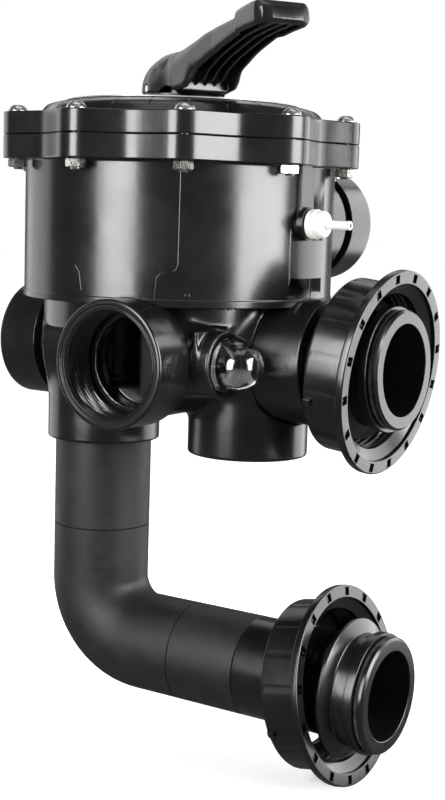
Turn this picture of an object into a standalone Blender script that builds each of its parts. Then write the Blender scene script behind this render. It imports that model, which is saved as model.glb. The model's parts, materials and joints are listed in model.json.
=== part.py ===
"""Side-mount six-way multiport valve for a pool sand filter, with two d63 filter unions.

Everything is in metres, +Z up. The origin is the centre of the upper union's end face, and +X points
out of that union, towards the filter tank. The valve's own vertical axis stands VALVE_X behind it.
Heights are counted from the level of the lower ports.
"""

import math

import bmesh
import bpy
from mathutils import Matrix, Vector

MM = 0.001
GAP = 0.3 * MM
AXIS_MERGE = 0.00001
SHARP_ANGLE = math.radians(30)
OBJECT_NAME = "multiport_valve"

# Valve axis and filter connections
VALVE_X = -162.0 * MM
UNION_FACE_X = 162.0 * MM
UNION_SPACING = 195.0 * MM
PIPE_R = 31.5 * MM
PIPE_BORE_R = 27.0 * MM
CHANNEL_R = 26.0 * MM

# Upper body: a round bowl with a bolted flange
BODY_R = 96.5 * MM
BOWL_R = 89.5 * MM
BODY_BOTTOM = 32.7 * MM
BOWL_FLOOR = 42.0 * MM
FLANGE_BOTTOM = 115.7 * MM
PARTING = 129.9 * MM
FLANGE_TOP = 143.2 * MM
FLANGE_R = 101.2 * MM
LID_TOP = 152.2 * MM
CROWN_R = 74.0 * MM
BOLT_COUNT = 10
BOLT_CIRCLE_R = 104.0 * MM
BOLT_START = math.radians(-90)
LUG_REACH = 113.3 * MM
LUG_FLANK_SLOPE = 0.296
HOLLOW_ROUND = 6.0 * MM
BOLT_R = 3.0 * MM
BOLT_HOLE_R = 3.5 * MM
BOLT_HEAD_R = 6.0 * MM
NUT_ACROSS = 10.0 * MM
NUT_HIGH = 5.0 * MM

# Ports: each is a neck with a wider socket round it
NECK_R = 31.2 * MM
SOCKET_BORE_R = 31.6 * MM
PORT_R = 37.4 * MM
PORT_OFFSET = 29.5 * MM
WASTE_FACE = 109.3 * MM
WASTE_BACK = 80.8 * MM
RETURN_FACE = 117.0 * MM
RETURN_BACK = 86.8 * MM
FILTER_SOCKET_FACE = 113.0 * MM
FILTER_SOCKET_BACK = 80.8 * MM
PUMP_FACE = 131.0 * MM
PUMP_BACK = 104.4 * MM
PUMP_Z = 80.5 * MM
THREAD_R = 29.8 * MM
HUB_R = 38.0 * MM
DRUM_R = 84.0 * MM
DROP_X = -57.0 * MM
STUB_X = 56.0 * MM
DROP_LIP = -62.5 * MM
STUB_LIP = -60.3 * MM
DROP_STEP = -40.0 * MM
STUB_STEP = -42.0 * MM
DROP_RING_R = 36.7 * MM
STUB_RING_R = 37.1 * MM
WASTE_HUB_R = 34.0 * MM
WASTE_HUB_REACH = 74.0 * MM
HUB_REACH = 80.0 * MM

# Drop pipe and elbow down to the lower union
ELBOW_TOP = -120.0 * MM
ELBOW_BEND_R = 40.0 * MM
ELBOW_END_X = 20.0 * MM
CROSS_PIPE_END_X = 69.0 * MM

# Union tailpieces and nuts
UPPER_TAIL_LENGTH = 69.0 * MM
LOWER_TAIL_LENGTH = UNION_FACE_X - CROSS_PIPE_END_X - GAP / 2
NUT_FLANGE_R = 60.2 * MM
NUT_BARREL_R = 51.5 * MM
NUT_LENGTH = 30.0 * MM
NUT_FLANGE_THICK = 5.0 * MM
NUT_LIP_R = 36.2 * MM
NUT_THREAD_R = 46.2 * MM
NUT_POCKETS = 16
UPPER_NUT_AT = Vector((154.6 * MM, 0, -2.3 * MM))
UPPER_NUT_TILT = math.radians(6)
LOWER_NUT_AT = Vector((134.0 * MM, 0, 1.4 * MM - UNION_SPACING))
LOWER_NUT_TILT = math.radians(-10)

# Selector: diverter, spring, handle
HANDLE_DIRECTION = math.radians(-30)
WEDGES = 6
WEDGE_INNER_R = 22.0 * MM
WEDGE_OUTER_R = 78.0 * MM
WEDGE_RIB = math.radians(9)
GASKET_THICK = 3.0 * MM
SHAFT_R = 16.0 * MM
SHAFT_BORE_R = 16.3 * MM
SHAFT_TOP = 168.0 * MM
LID_TUBE_R = 23.0 * MM
LID_TUBE_BOTTOM = 118.0 * MM
LID_CEILING = 146.0 * MM
LID_HUB_R = 30.0 * MM
LID_HUB_TOP = 156.0 * MM
SPRING_SEAT_Z = 80.0 * MM
SPRING_R = 27.0 * MM
SPRING_WIRE_R = 2.0 * MM
SPRING_TURNS = 6.5
PIN_Z = 161.0 * MM
PIN_R = 2.5 * MM
PIN_LENGTH = 50.0 * MM
SKIRT_R = 25.5 * MM
SKIRT_BORE_R = 22.5 * MM
SKIRT_BOTTOM = 158.6 * MM

# Sight glass and pressure port
SIGHT_Y = -60.0 * MM
SIGHT_FACE_X = 78.3 * MM
SIGHT_BOSS_R = 20.2 * MM
DOME_R = 14.2 * MM
GAUGE_Y = -10.0 * MM
GAUGE_Z = 82.0 * MM
GAUGE_FACE_X = 99.4 * MM

# Round cutters are turned by this much, so that none of their edges lies on an edge of the body
CUTTER_PHASE = math.radians(3)

ALONG = {
    "+X": (0, math.pi / 2, 0),
    "-X": (0, -math.pi / 2, 0),
    "+Y": (-math.pi / 2, 0, 0),
    "-Y": (math.pi / 2, 0, 0),
    "+Z": (0, 0, 0),
}


def clear_scene():
    for obj in list(bpy.data.objects):
        bpy.data.objects.remove(obj, do_unlink=True)


def new_collection(name):
    made = bpy.data.collections.new(name)
    bpy.context.scene.collection.children.link(made)
    return made


def plastic(name, color, roughness, metallic=0.0, transmission=0.0):
    made = bpy.data.materials.new(name)
    made.use_nodes = True
    shader = made.node_tree.nodes["Principled BSDF"]
    shader.inputs["Base Color"].default_value = (*color, 1)
    shader.inputs["Roughness"].default_value = roughness
    shader.inputs["Metallic"].default_value = metallic
    shader.inputs["Transmission Weight"].default_value = transmission
    return made


def empty(name, parent, location, turn=(0, 0, 0)):
    made = bpy.data.objects.new(name, None)
    made.empty_display_size = 0.02
    made.location = location
    made.rotation_euler = turn
    made.parent = parent
    PARTS.objects.link(made)
    return made


def place(obj, parent, location=(0, 0, 0), along="+Z"):
    obj.parent = parent
    obj.location = location
    obj.rotation_euler = ALONG[along] if isinstance(along, str) else along
    return obj


def shaded(mesh):
    """Smooth shading that keeps the corners sharp."""
    mesh.shade_smooth()
    mesh.set_sharp_from_angle(angle=SHARP_ANGLE)
    return mesh


def linked(name, mesh, material=None):
    """A new object of the mesh: a part with a material, or a cutter without one."""
    made = bpy.data.objects.new(name, mesh)
    (PARTS if material else CUTTERS).objects.link(made)
    if material:
        mesh.materials.append(material)
    else:
        made.hide_render = True
        made.display_type = "WIRE"
    return made


def turned(name, profile, steps, material=None, ring=True):
    """Turns (radius, height) points round Z: a closed ring, or a profile from axis to axis."""
    mesh = bpy.data.meshes.new(name)
    count = len(profile)
    edges = [(i, (i + 1) % count) for i in range(count if ring else count - 1)]
    phase = 0 if material else CUTTER_PHASE
    mesh.from_pydata([(r * math.cos(phase), r * math.sin(phase), z) for r, z in profile], edges, [])
    made = linked(name, mesh, material)
    screw = made.modifiers.new("turn", "SCREW")
    screw.steps = screw.render_steps = steps
    screw.use_merge_vertices = True
    screw.merge_threshold = AXIS_MERGE
    screw.use_smooth_shade = True
    return made


def washer(name, outer, inner, low, high, steps, material=None):
    return turned(name, [(outer, high), (outer, low), (inner, low), (inner, high)], steps, material)


def cylinder(name, radius, low, high, steps=28, material=None):
    """A solid cylinder on its own Z axis, from low to high."""
    mesh = bpy.data.meshes.new(name)
    shape = bmesh.new()
    bmesh.ops.create_cone(
        shape, cap_ends=True, segments=steps, radius1=radius, radius2=radius, depth=high - low
    )
    bmesh.ops.translate(shape, verts=shape.verts, vec=(0, 0, (low + high) / 2))
    if not material:
        turn = Matrix.Rotation(CUTTER_PHASE, 3, "Z")
        bmesh.ops.rotate(shape, verts=shape.verts, cent=(0, 0, 0), matrix=turn)
    shape.to_mesh(mesh)
    shape.free()
    return linked(name, shaded(mesh), material)


def box(name, low, high):
    mesh = bpy.data.meshes.new(name)
    shape = bmesh.new()
    bmesh.ops.create_cube(shape, size=1)
    bmesh.ops.scale(shape, verts=shape.verts, vec=Vector(high) - Vector(low))
    bmesh.ops.translate(shape, verts=shape.verts, vec=(Vector(high) + Vector(low)) / 2)
    shape.to_mesh(mesh)
    shape.free()
    return linked(name, mesh)


def mesh_of_curve(curve_object, material=None):
    """The curve as a mesh object with its caps welded; the curve is removed."""
    bpy.context.view_layer.update()
    name = curve_object.name
    graph = bpy.context.evaluated_depsgraph_get()
    mesh = bpy.data.meshes.new_from_object(curve_object.evaluated_get(graph))
    place_in_world = curve_object.matrix_world.copy()
    bpy.data.objects.remove(curve_object, do_unlink=True)
    shape = bmesh.new()
    shape.from_mesh(mesh)
    bmesh.ops.remove_doubles(shape, verts=shape.verts, dist=AXIS_MERGE)
    bmesh.ops.recalc_face_normals(shape, faces=shape.faces)
    shape.to_mesh(mesh)
    shape.free()
    mesh.name = name
    made = linked(name, shaded(mesh), material)
    made.matrix_world = place_in_world
    return made


def plate(name, outline, low, high, material=None):
    """A flat outline of (x, y) points, thick from low to high."""
    curve = bpy.data.curves.new(name, "CURVE")
    curve.dimensions = "2D"
    curve.fill_mode = "BOTH"
    curve.extrude = (high - low) / 2
    spline = curve.splines.new("POLY")
    spline.points.add(len(outline) - 1)
    for point, (x, y) in zip(spline.points, outline):
        point.co = (x, y, 0, 1)
    spline.use_cyclic_u = True
    made = bpy.data.objects.new(name, curve)
    CUTTERS.objects.link(made)
    solid = mesh_of_curve(made, material)
    solid.data.transform(Matrix.Translation((0, 0, (low + high) / 2)))
    return solid


def swept(name, points, radius, resolution, material=None):
    """A round bar along a list of points, as a mesh with closed ends."""
    curve = bpy.data.curves.new(name, "CURVE")
    curve.dimensions = "3D"
    curve.bevel_depth = radius
    curve.bevel_resolution = resolution
    curve.use_fill_caps = True
    spline = curve.splines.new("POLY")
    spline.points.add(len(points) - 1)
    for point, position in zip(spline.points, points):
        point.co = (*position, 1)
    made = bpy.data.objects.new(name, curve)
    CUTTERS.objects.link(made)
    return mesh_of_curve(made, material)


def combine(obj, other, operation):
    modifier = obj.modifiers.new(other.name, "BOOLEAN")
    modifier.operation = operation
    modifier.solver = "EXACT"
    modifier.object = other
    return obj


def cut(obj, *others):
    for other in others:
        combine(obj, other, "DIFFERENCE")
    return obj


def join(obj, *others):
    for other in others:
        combine(obj, other, "UNION")
    return obj


def circle_points(centre, radius, count):
    """Points round a (radius, height) centre, in the order that a turned ring needs."""
    turns = [2 * math.pi * i / count for i in range(count)]
    return [(centre[0] + radius * math.cos(a), centre[1] - radius * math.sin(a)) for a in turns]


def o_ring(name, mean_r, section_r, height, steps):
    return turned(name, circle_points((mean_r, height), section_r, 5), steps, RUBBER)


def bolt_angles():
    return [BOLT_START + 2 * math.pi * i / BOLT_COUNT for i in range(BOLT_COUNT)]


def flange_reach(from_bolt):
    """The flange's radius at an angle from a bolt: a blunt lug, then straight flanks down to a hollow."""
    from_hollow = math.pi / BOLT_COUNT - abs(from_bolt)
    reach = FLANGE_R
    for _ in range(40):
        across = reach * math.sin(from_hollow)
        rise = LUG_FLANK_SLOPE * (math.hypot(across, HOLLOW_ROUND) - HOLLOW_ROUND)
        reach = (FLANGE_R + rise) / math.cos(from_hollow)
    return min(reach, LUG_REACH)


def flange_outline():
    """The flange's scalloped edge."""
    offsets = [math.radians(d) for d in (-15, -10, -3.4, -2.6, 2.6, 3.4, 10, 15, 18)]
    outline = []
    for middle in bolt_angles():
        for offset in offsets:
            reach = flange_reach(offset)
            outline.append((reach * math.cos(middle + offset), reach * math.sin(middle + offset)))
    return outline


def bolt_hole_cutter(name, low, high):
    """One mesh with a separate cylinder for each bolt hole."""
    mesh = bpy.data.meshes.new(name)
    shape = bmesh.new()
    for angle in bolt_angles():
        spot = (BOLT_CIRCLE_R * math.cos(angle), BOLT_CIRCLE_R * math.sin(angle), (low + high) / 2)
        bmesh.ops.create_cone(
            shape,
            cap_ends=True,
            segments=6,
            radius1=BOLT_HOLE_R,
            radius2=BOLT_HOLE_R,
            depth=high - low,
            matrix=Matrix.Translation(spot),
        )
    shape.to_mesh(mesh)
    shape.free()
    return linked(name, mesh)


def sector(inner, outer, middle, half, arc=3):
    """The outline of a wedge between two radii."""
    angles = [middle - half + 2 * half * i / arc for i in range(arc + 1)]
    points = [(outer * math.cos(a), outer * math.sin(a)) for a in angles]
    return points + [(inner * math.cos(a), inner * math.sin(a)) for a in reversed(angles)]


def wedge_middles():
    return [math.radians(-90 + 60 * i) for i in range(WEDGES)]


def wedge_cutters(name, low, high):
    half = math.pi / WEDGES - WEDGE_RIB / 2
    made = []
    for number, middle in enumerate(wedge_middles()):
        outline = sector(WEDGE_INNER_R, WEDGE_OUTER_R, middle, half)
        made.append(place(plate(f"{name}_{number}", outline, low, high), VALVE))
    return made


def socket_clearance(name, radius, back, location, along):
    """The room that a port's socket takes out of the body behind it."""
    return place(cylinder(name, radius, back - GAP, back + 60 * MM), VALVE, location, along)


def valve_bowl():
    bowl = place(cylinder("valve_bowl", BODY_R, BODY_BOTTOM, PARTING - GAP / 2, 36, ABS), VALVE)
    flange = plate("bowl_flange", flange_outline(), FLANGE_BOTTOM, PARTING - GAP / 2)
    neck = cylinder("pump_neck", NECK_R, 60 * MM, 110 * MM)
    boss = cylinder("gauge_boss", 11 * MM, 85 * MM, GAUGE_FACE_X, 20)
    place(flange, VALVE)
    place(neck, VALVE, (PORT_OFFSET, 0, PUMP_Z), "+Y")
    place(boss, VALVE, (0, GAUGE_Y, GAUGE_Z), "+X")
    join(bowl, flange, neck, boss)
    cavity = place(cylinder("bowl_cavity", BOWL_R, BOWL_FLOOR, 140 * MM, 36), VALVE)
    groove = washer("lid_seal_groove", 95 * MM, 91 * MM, PARTING - 3.2 * MM, 140 * MM, 36)
    pump_bore = cylinder("pump_bore", CHANNEL_R, 70 * MM, 120 * MM)
    gauge_hole = cylinder("gauge_hole", 6.3 * MM, 80 * MM, 110 * MM, 16)
    pivot_hole = cylinder("pivot_hole", 8.4 * MM, 20 * MM, 60 * MM, 20)
    place(groove, VALVE)
    place(pump_bore, VALVE, (PORT_OFFSET, 0, PUMP_Z), "+Y")
    place(gauge_hole, VALVE, (0, GAUGE_Y, GAUGE_Z), "+X")
    place(pivot_hole, VALVE)
    holes = place(bolt_hole_cutter("bowl_bolt_holes", FLANGE_BOTTOM - MM, PARTING + MM), VALVE)
    cut(bowl, cavity, groove, pump_bore, gauge_hole, pivot_hole, holes)
    cut(bowl, *wedge_cutters("bowl_wedge", 20 * MM, 50 * MM))
    cut(
        bowl,
        socket_clearance("waste_room", PORT_R + GAP, WASTE_BACK, (PORT_OFFSET, 0, 0), "-Y"),
        socket_clearance("return_room", PORT_R + GAP, RETURN_BACK, (0, 0, 0), "-X"),
        socket_clearance("filter_room", HUB_R + GAP, FILTER_SOCKET_BACK, (0, 0, 0), "+X"),
    )
    return bowl


def port_manifold():
    """The lower body: a hub under the bowl with a blanked stub and the stub that the drop pipe meets."""
    body = place(cylinder("port_manifold", HUB_R, -HUB_REACH, HUB_REACH, 32, ABS), VALVE, along="+X")
    drum = place(cylinder("drum", DRUM_R, 14 * MM, 50 * MM, 32), VALVE)
    drop = place(cylinder("drop_hub", DROP_RING_R, DROP_STEP, -4 * MM), VALVE, (DROP_X, 0, 0))
    stub = place(cylinder("stub_hub", STUB_RING_R, STUB_STEP, -4 * MM), VALVE, (STUB_X, 0, 0))
    waste = cylinder("waste_hub", WASTE_HUB_R, 20 * MM, WASTE_HUB_REACH)
    sight = cylinder("sight_boss", SIGHT_BOSS_R, 40 * MM, SIGHT_FACE_X, 24)
    place(waste, VALVE, (PORT_OFFSET, 0, 0), "-Y")
    place(sight, VALVE, (0, SIGHT_Y, 0), "+X")
    join(body, drum, drop, stub, waste, sight)
    above = box("above_manifold", (-0.2, -0.2, BODY_BOTTOM - GAP), (0.2, 0.2, 0.1))
    offset = (PORT_OFFSET, 0, 0)
    waste_end = WASTE_HUB_REACH + GAP
    hub_end = HUB_REACH + GAP
    cut(
        body,
        place(above, VALVE),
        socket_clearance("waste_space", PORT_R + 2 * GAP, waste_end, offset, "-Y"),
        socket_clearance("return_space", PORT_R + 2 * GAP, hub_end, (0, 0, 0), "-X"),
        socket_clearance("filter_space", HUB_R + 2 * GAP, hub_end, (0, 0, 0), "+X"),
    )
    cut(body, *manifold_channels())
    return cut(body, *wedge_cutters("manifold_wedge", 20 * MM, 60 * MM))


def manifold_rings():
    """The lower body's plain rings: three necks that carry port sockets, and two pipe sockets."""
    waste = washer("waste_neck", NECK_R, CHANNEL_R, WASTE_HUB_REACH + GAP, 86 * MM, 28, ABS)
    place(waste, VALVE, (PORT_OFFSET, 0, 0), "-Y")
    start = HUB_REACH + GAP
    place(washer("return_neck", NECK_R, CHANNEL_R, start, 98 * MM, 28, ABS), VALVE, along="-X")
    place(washer("filter_neck", NECK_R, CHANNEL_R, start, 92 * MM, 28, ABS), VALVE, along="+X")
    drop_bore = PIPE_R + 0.4 * MM
    drop = washer("drop_socket", DROP_RING_R, drop_bore, DROP_LIP, DROP_STEP - GAP, 28, ABS)
    spare = washer("spare_socket", STUB_RING_R, SOCKET_BORE_R, STUB_LIP, STUB_STEP - GAP, 28, ABS)
    place(drop, VALVE, (DROP_X, 0, 0))
    place(spare, VALVE, (STUB_X, 0, 0))


def manifold_channels():
    """The way down to the drop pipe, the passages up to the wedges, and the sight glass's seat."""
    waste = cylinder("waste_bore", CHANNEL_R, 70 * MM, 120 * MM)
    drop = cylinder("drop_bore", CHANNEL_R, -90 * MM, -28 * MM)
    sight = cylinder("sight_bore", 11 * MM, 50 * MM, 90 * MM, 20)
    sight_seat = cylinder("sight_seat", 16.8 * MM, 70 * MM, 90 * MM, 20)
    passages = [
        box("waste_passage", (5 * MM, -78 * MM, -16 * MM), (25 * MM, -42 * MM, 26 * MM)),
        box("return_passage", (-82 * MM, 3 * MM, -16 * MM), (-44 * MM, 22 * MM, 26 * MM)),
        box("drop_passage", (-72 * MM, -22 * MM, -34 * MM), (-44 * MM, -3 * MM, 26 * MM)),
        box("filter_passage", (44 * MM, -22 * MM, -16 * MM), (82 * MM, -3 * MM, 26 * MM)),
    ]
    place(waste, VALVE, (PORT_OFFSET, 0, 0), "-Y")
    place(drop, VALVE, (DROP_X, 0, 0))
    for bore in (sight, sight_seat):
        place(bore, VALVE, (0, SIGHT_Y, 0), "+X")
    for passage in passages:
        place(passage, VALVE)
    return [waste, drop, sight, sight_seat, *passages]


def port_socket(name, face, back, radius, bore, location, along, step=None):
    """A port's socket ring. A threaded one is narrower in front of its neck, from step on."""
    lip = 1.5 * MM
    profile = [(radius - lip, face), (radius, face - lip), (radius, back), (SOCKET_BORE_R, back)]
    if step:
        profile += [(SOCKET_BORE_R, step), (bore, step + lip)]
    profile += [(bore, face - 2 * lip), (bore + lip, face)]
    return place(turned(name, profile, 28, ABS), VALVE, location, along)


def port_sockets():
    waste_step = WASTE_BACK + 5.6 * MM
    offset = (PORT_OFFSET, 0, 0)
    pump_at = (PORT_OFFSET, 0, PUMP_Z)
    tail_bore = PIPE_R + 0.4 * MM
    port_socket("waste_socket", WASTE_FACE, WASTE_BACK, PORT_R, THREAD_R, offset, "-Y", waste_step)
    port_socket("return_socket", RETURN_FACE, RETURN_BACK, PORT_R, SOCKET_BORE_R, (0, 0, 0), "-X")
    port_socket("pump_socket", PUMP_FACE, PUMP_BACK, PORT_R, SOCKET_BORE_R, pump_at, "+Y")
    port_socket(
        "filter_top_socket", FILTER_SOCKET_FACE, FILTER_SOCKET_BACK, HUB_R, tail_bore, (0, 0, 0), "+X"
    )


def lid():
    bottom = PARTING + GAP / 2
    top = turned(
        "lid",
        [
            (0, LID_HUB_TOP),
            (LID_HUB_R - 1.5 * MM, LID_HUB_TOP),
            (LID_HUB_R, LID_HUB_TOP - 1.5 * MM),
            (LID_HUB_R, LID_TOP),
            (CROWN_R, LID_TOP),
            (CROWN_R + 8 * MM, LID_TOP - 1.6 * MM),
            (CROWN_R + 12.8 * MM, LID_TOP - 5.2 * MM),
            (CROWN_R + 14.5 * MM, FLANGE_TOP + 0.3 * MM),
            (CROWN_R + 14.5 * MM, FLANGE_TOP - MM),
            (BOWL_R - 0.4 * MM, FLANGE_TOP - MM),
            (BOWL_R - 0.4 * MM, LID_TUBE_BOTTOM),
            (0, LID_TUBE_BOTTOM),
        ],
        36,
        ABS,
        ring=False,
    )
    place(top, VALVE)
    flange = place(plate("lid_flange", flange_outline(), bottom, FLANGE_TOP), VALVE)
    inside = washer("lid_inside", BOWL_R - 6 * MM, LID_TUBE_R, 100 * MM, LID_CEILING, 36)
    bore = cylinder("shaft_bore", SHAFT_BORE_R, 100 * MM, 170 * MM, 24)
    holes = place(bolt_hole_cutter("lid_bolt_holes", bottom - MM, FLANGE_TOP + MM), VALVE)
    return cut(join(top, flange), place(inside, VALVE), place(bore, VALVE), holes)


def lid_fasteners():
    """A pan-head bolt down through each lug, and a hex nut under it."""
    head = FLANGE_TOP + GAP
    head_high = 3.6 * MM
    tip = FLANGE_BOTTOM - GAP - NUT_HIGH - 1.2 * MM
    bolt_profile = [
        (0, head + head_high),
        (3.2 * MM, head + head_high - 0.3 * MM),
        (5.2 * MM, head + 1.9 * MM),
        (BOLT_HEAD_R, head),
        (BOLT_R, head),
        (BOLT_R, tip + 0.6 * MM),
        (BOLT_R - 0.6 * MM, tip),
        (0, tip),
    ]
    nut_top = FLANGE_BOTTOM - GAP
    corner_r = NUT_ACROSS / 2 / math.cos(math.pi / 6)
    for number, angle in enumerate(bolt_angles(), 1):
        spot = (BOLT_CIRCLE_R * math.cos(angle), BOLT_CIRCLE_R * math.sin(angle), 0)
        bolt = turned(f"lid_bolt_{number:02d}", bolt_profile, 8, STEEL, ring=False)
        nut = cylinder(f"lid_nut_{number:02d}", corner_r, nut_top - NUT_HIGH, nut_top, 6, STEEL)
        hole = cylinder(f"nut_hole_{number:02d}", BOLT_HOLE_R, 90 * MM, 130 * MM, 6)
        place(bolt, VALVE, spot, (0, 0, angle))
        place(nut, VALVE, spot, (0, 0, angle))
        place(hole, VALVE, spot, (0, 0, angle))
        cut(nut, hole)


def star_gasket():
    low = BOWL_FLOOR + GAP
    high = low + GASKET_THICK
    gasket = place(washer("star_gasket", 88 * MM, 12 * MM, low, high, 36, RUBBER), VALVE)
    return cut(gasket, *wedge_cutters("gasket_wedge", low - MM, high + MM))


def diverter():
    """The rotor that joins pairs of wedges, with its shaft up through the lid."""
    low = BOWL_FLOOR + GASKET_THICK + 2 * GAP
    plate_top = low + 8 * MM
    dome_top = low + 28 * MM
    shaft = turned("diverter", diverter_profile(low, plate_top), 28, ABS, ring=False)
    place(shaft, SELECTOR)
    half = math.pi / WEDGES
    dome_half = 2 * half - WEDGE_RIB / 2
    away = math.pi
    dome = plate("dome", sector(10 * MM, 80 * MM, away, dome_half, 9), low + 2 * MM, dome_top)
    hollow_half = dome_half - math.radians(4)
    hollow = sector(24 * MM, 76 * MM, away, hollow_half, 9)
    hollow_cut = plate("dome_hollow", hollow, low - 5 * MM, dome_top - 4 * MM)
    window = sector(WEDGE_INNER_R + 2 * MM, 75 * MM, 0, half - WEDGE_RIB / 2, 5)
    window_cut = plate("diverter_window", window, low - 5 * MM, plate_top + MM)
    pin_hole = cylinder("shaft_pin_hole", PIN_R + GAP, -40 * MM, 40 * MM, 14)
    for piece in (dome, hollow_cut, window_cut):
        place(piece, SELECTOR)
    place(pin_hole, SELECTOR, (0, 0, PIN_Z), "+Y")
    return cut(join(shaft, dome), hollow_cut, window_cut, pin_hole)


def seal_heights():
    return (LID_TUBE_BOTTOM + 10 * MM, LID_TUBE_BOTTOM + 22 * MM)


def diverter_profile(low, plate_top):
    groove_r = SHAFT_R - 2.6 * MM
    groove_half = 1.5 * MM
    profile = [(0, SHAFT_TOP), (SHAFT_R - MM, SHAFT_TOP), (SHAFT_R, SHAFT_TOP - MM)]
    for height in reversed(seal_heights()):
        profile += [
            (SHAFT_R, height + groove_half),
            (groove_r, height + groove_half),
            (groove_r, height - groove_half),
            (SHAFT_R, height - groove_half),
        ]
    seat = SPRING_SEAT_Z
    profile += [(SHAFT_R, seat), (31 * MM, seat), (31 * MM, seat - 4 * MM), (20 * MM, seat - 8 * MM)]
    profile += [(20 * MM, plate_top), (85 * MM, plate_top), (85 * MM, low), (8 * MM, low)]
    return profile + [(8 * MM, 35 * MM), (0, 35 * MM)]


def spring_and_washers():
    outer = 30.5 * MM
    low_top = SPRING_SEAT_Z + 1.8 * MM
    high_bottom = LID_CEILING - 1.8 * MM
    low_washer = washer(
        "spring_washer_lower", outer, SHAFT_R + 2 * GAP, SPRING_SEAT_Z + GAP, low_top, 24, STEEL
    )
    high_washer = washer(
        "spring_washer_upper", outer, LID_TUBE_R + MM, high_bottom, LID_CEILING - GAP, 24, STEEL
    )
    place(low_washer, VALVE)
    place(high_washer, VALVE)
    start = low_top + SPRING_WIRE_R + 2 * GAP
    end = high_bottom - SPRING_WIRE_R - 2 * GAP
    per_turn = 8
    count = int(SPRING_TURNS * per_turn)
    points = []
    for i in range(count + 1):
        angle = 2 * math.pi * i / per_turn
        height = start + (end - start) * i / count
        points.append((SPRING_R * math.cos(angle), SPRING_R * math.sin(angle), height))
    place(swept("diverter_spring", points, SPRING_WIRE_R, 2, STEEL), VALVE)


def scaled(points):
    return [(x * MM, y * MM) for x, y in points]


def handle_side_outline():
    """The handle from its side, as (reach, height): over the top to the tip, then back underneath."""
    over = [(-24, 163), (-23, 170), (-19, 177), (-14, 181), (-6, 183), (10, 183.2), (30, 184.4)]
    over += [(50, 188), (73, 192.8), (99, 196.4), (102, 199.4), (112, 201.2), (124, 202.4)]
    over += [(131, 202.5), (134, 200)]
    under = [(134.6, 191), (131, 189.8), (113, 188), (97, 185.7), (78, 180.5), (62, 175), (50, 169.5)]
    under += [(43, 163), (39, 160.2), (-24, 160.2)]
    return scaled(over + under)


def handle_top_outline():
    """The handle from above: a round base, a waist and a wider grip with a rounded end."""
    side = [(12.5, 22.2), (24, 20.4), (36, 18.6), (52, 16.9), (70, 15.3), (98, 14.7), (101.5, 16.7)]
    side += [(128, 16.7), (132.5, 15), (135, 11)]
    base_angles = [math.radians(60 + 20 * i) for i in range(13)]
    base = [(25.5 * math.cos(a), 25.5 * math.sin(a)) for a in base_angles]
    return scaled(base + [(x, -y) for x, y in side] + [(x, y) for x, y in reversed(side)])


def handle_hollow_outlines():
    """The open space under the arm, from its side and from above."""
    from_side = [(31, 150), (31, 179), (50, 183.5), (73, 188.3), (99, 192), (122, 197.4), (130, 197.4)]
    from_side += [(130, 150)]
    half = [(31, 15.8), (52, 13.4), (70, 11.8), (98, 11.2), (102, 13.2), (126, 13.2), (130, 10)]
    from_above = [(x, -y) for x, y in half] + [(x, y) for x, y in reversed(half)]
    return scaled(from_side), scaled(from_above)


def on_edge(obj, parent):
    """Stands a plate up, so that its outline's second coordinate is its height."""
    return place(obj, parent, along=(math.pi / 2, 0, 0))


def handle():
    arm = on_edge(plate("selector_handle", handle_side_outline(), -40 * MM, 40 * MM, HANDLE_ABS), SELECTOR)
    shape_above = place(plate("handle_plan", handle_top_outline(), 150 * MM, 210 * MM), SELECTOR)
    skirt = place(cylinder("handle_skirt", SKIRT_R, SKIRT_BOTTOM, 166 * MM, 36), SELECTOR)
    combine(arm, shape_above, "INTERSECT")
    join(arm, skirt)
    skirt_bore = place(cylinder("skirt_bore", SKIRT_BORE_R, 150 * MM, 173 * MM, 32), SELECTOR)
    side, above = handle_hollow_outlines()
    hollow = on_edge(plate("handle_hollow", side, -30 * MM, 30 * MM), SELECTOR)
    hollow_above = place(plate("handle_hollow_plan", above, 140 * MM, 210 * MM), SELECTOR)
    combine(hollow, hollow_above, "INTERSECT")
    pin_holes = cylinder("handle_pin_holes", PIN_R + GAP, -40 * MM, 40 * MM, 12)
    place(pin_holes, SELECTOR, (0, 0, PIN_Z), "+Y")
    cut(arm, skirt_bore, hollow, pin_holes)
    pin = cylinder("handle_pin", PIN_R, -PIN_LENGTH / 2, PIN_LENGTH / 2, 12, STEEL)
    place(pin, SELECTOR, (0, 0, PIN_Z), "+Y")


def selector_rings():
    """The thrust washer that the handle bears on, and the seals of lid and shaft."""
    low = LID_HUB_TOP + GAP
    thrust = washer("thrust_washer", 25 * MM, 17 * MM, low, SKIRT_BOTTOM - GAP, 28, NYLON)
    place(thrust, SELECTOR)
    place(o_ring("lid_seal", 93 * MM, 1.35 * MM, PARTING - 1.8 * MM, 36), VALVE)
    for number, height in enumerate(seal_heights(), 1):
        place(o_ring(f"shaft_seal_{number}", 14.85 * MM, 1.1 * MM, height, 20), SELECTOR)


def position_plate():
    """The round plate on the lid that marks the six handle positions."""
    low = LID_TOP + GAP
    place(washer("position_plate", 72 * MM, 32 * MM, low, low + 0.8 * MM, 36, PLATE), VALVE)


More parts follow.
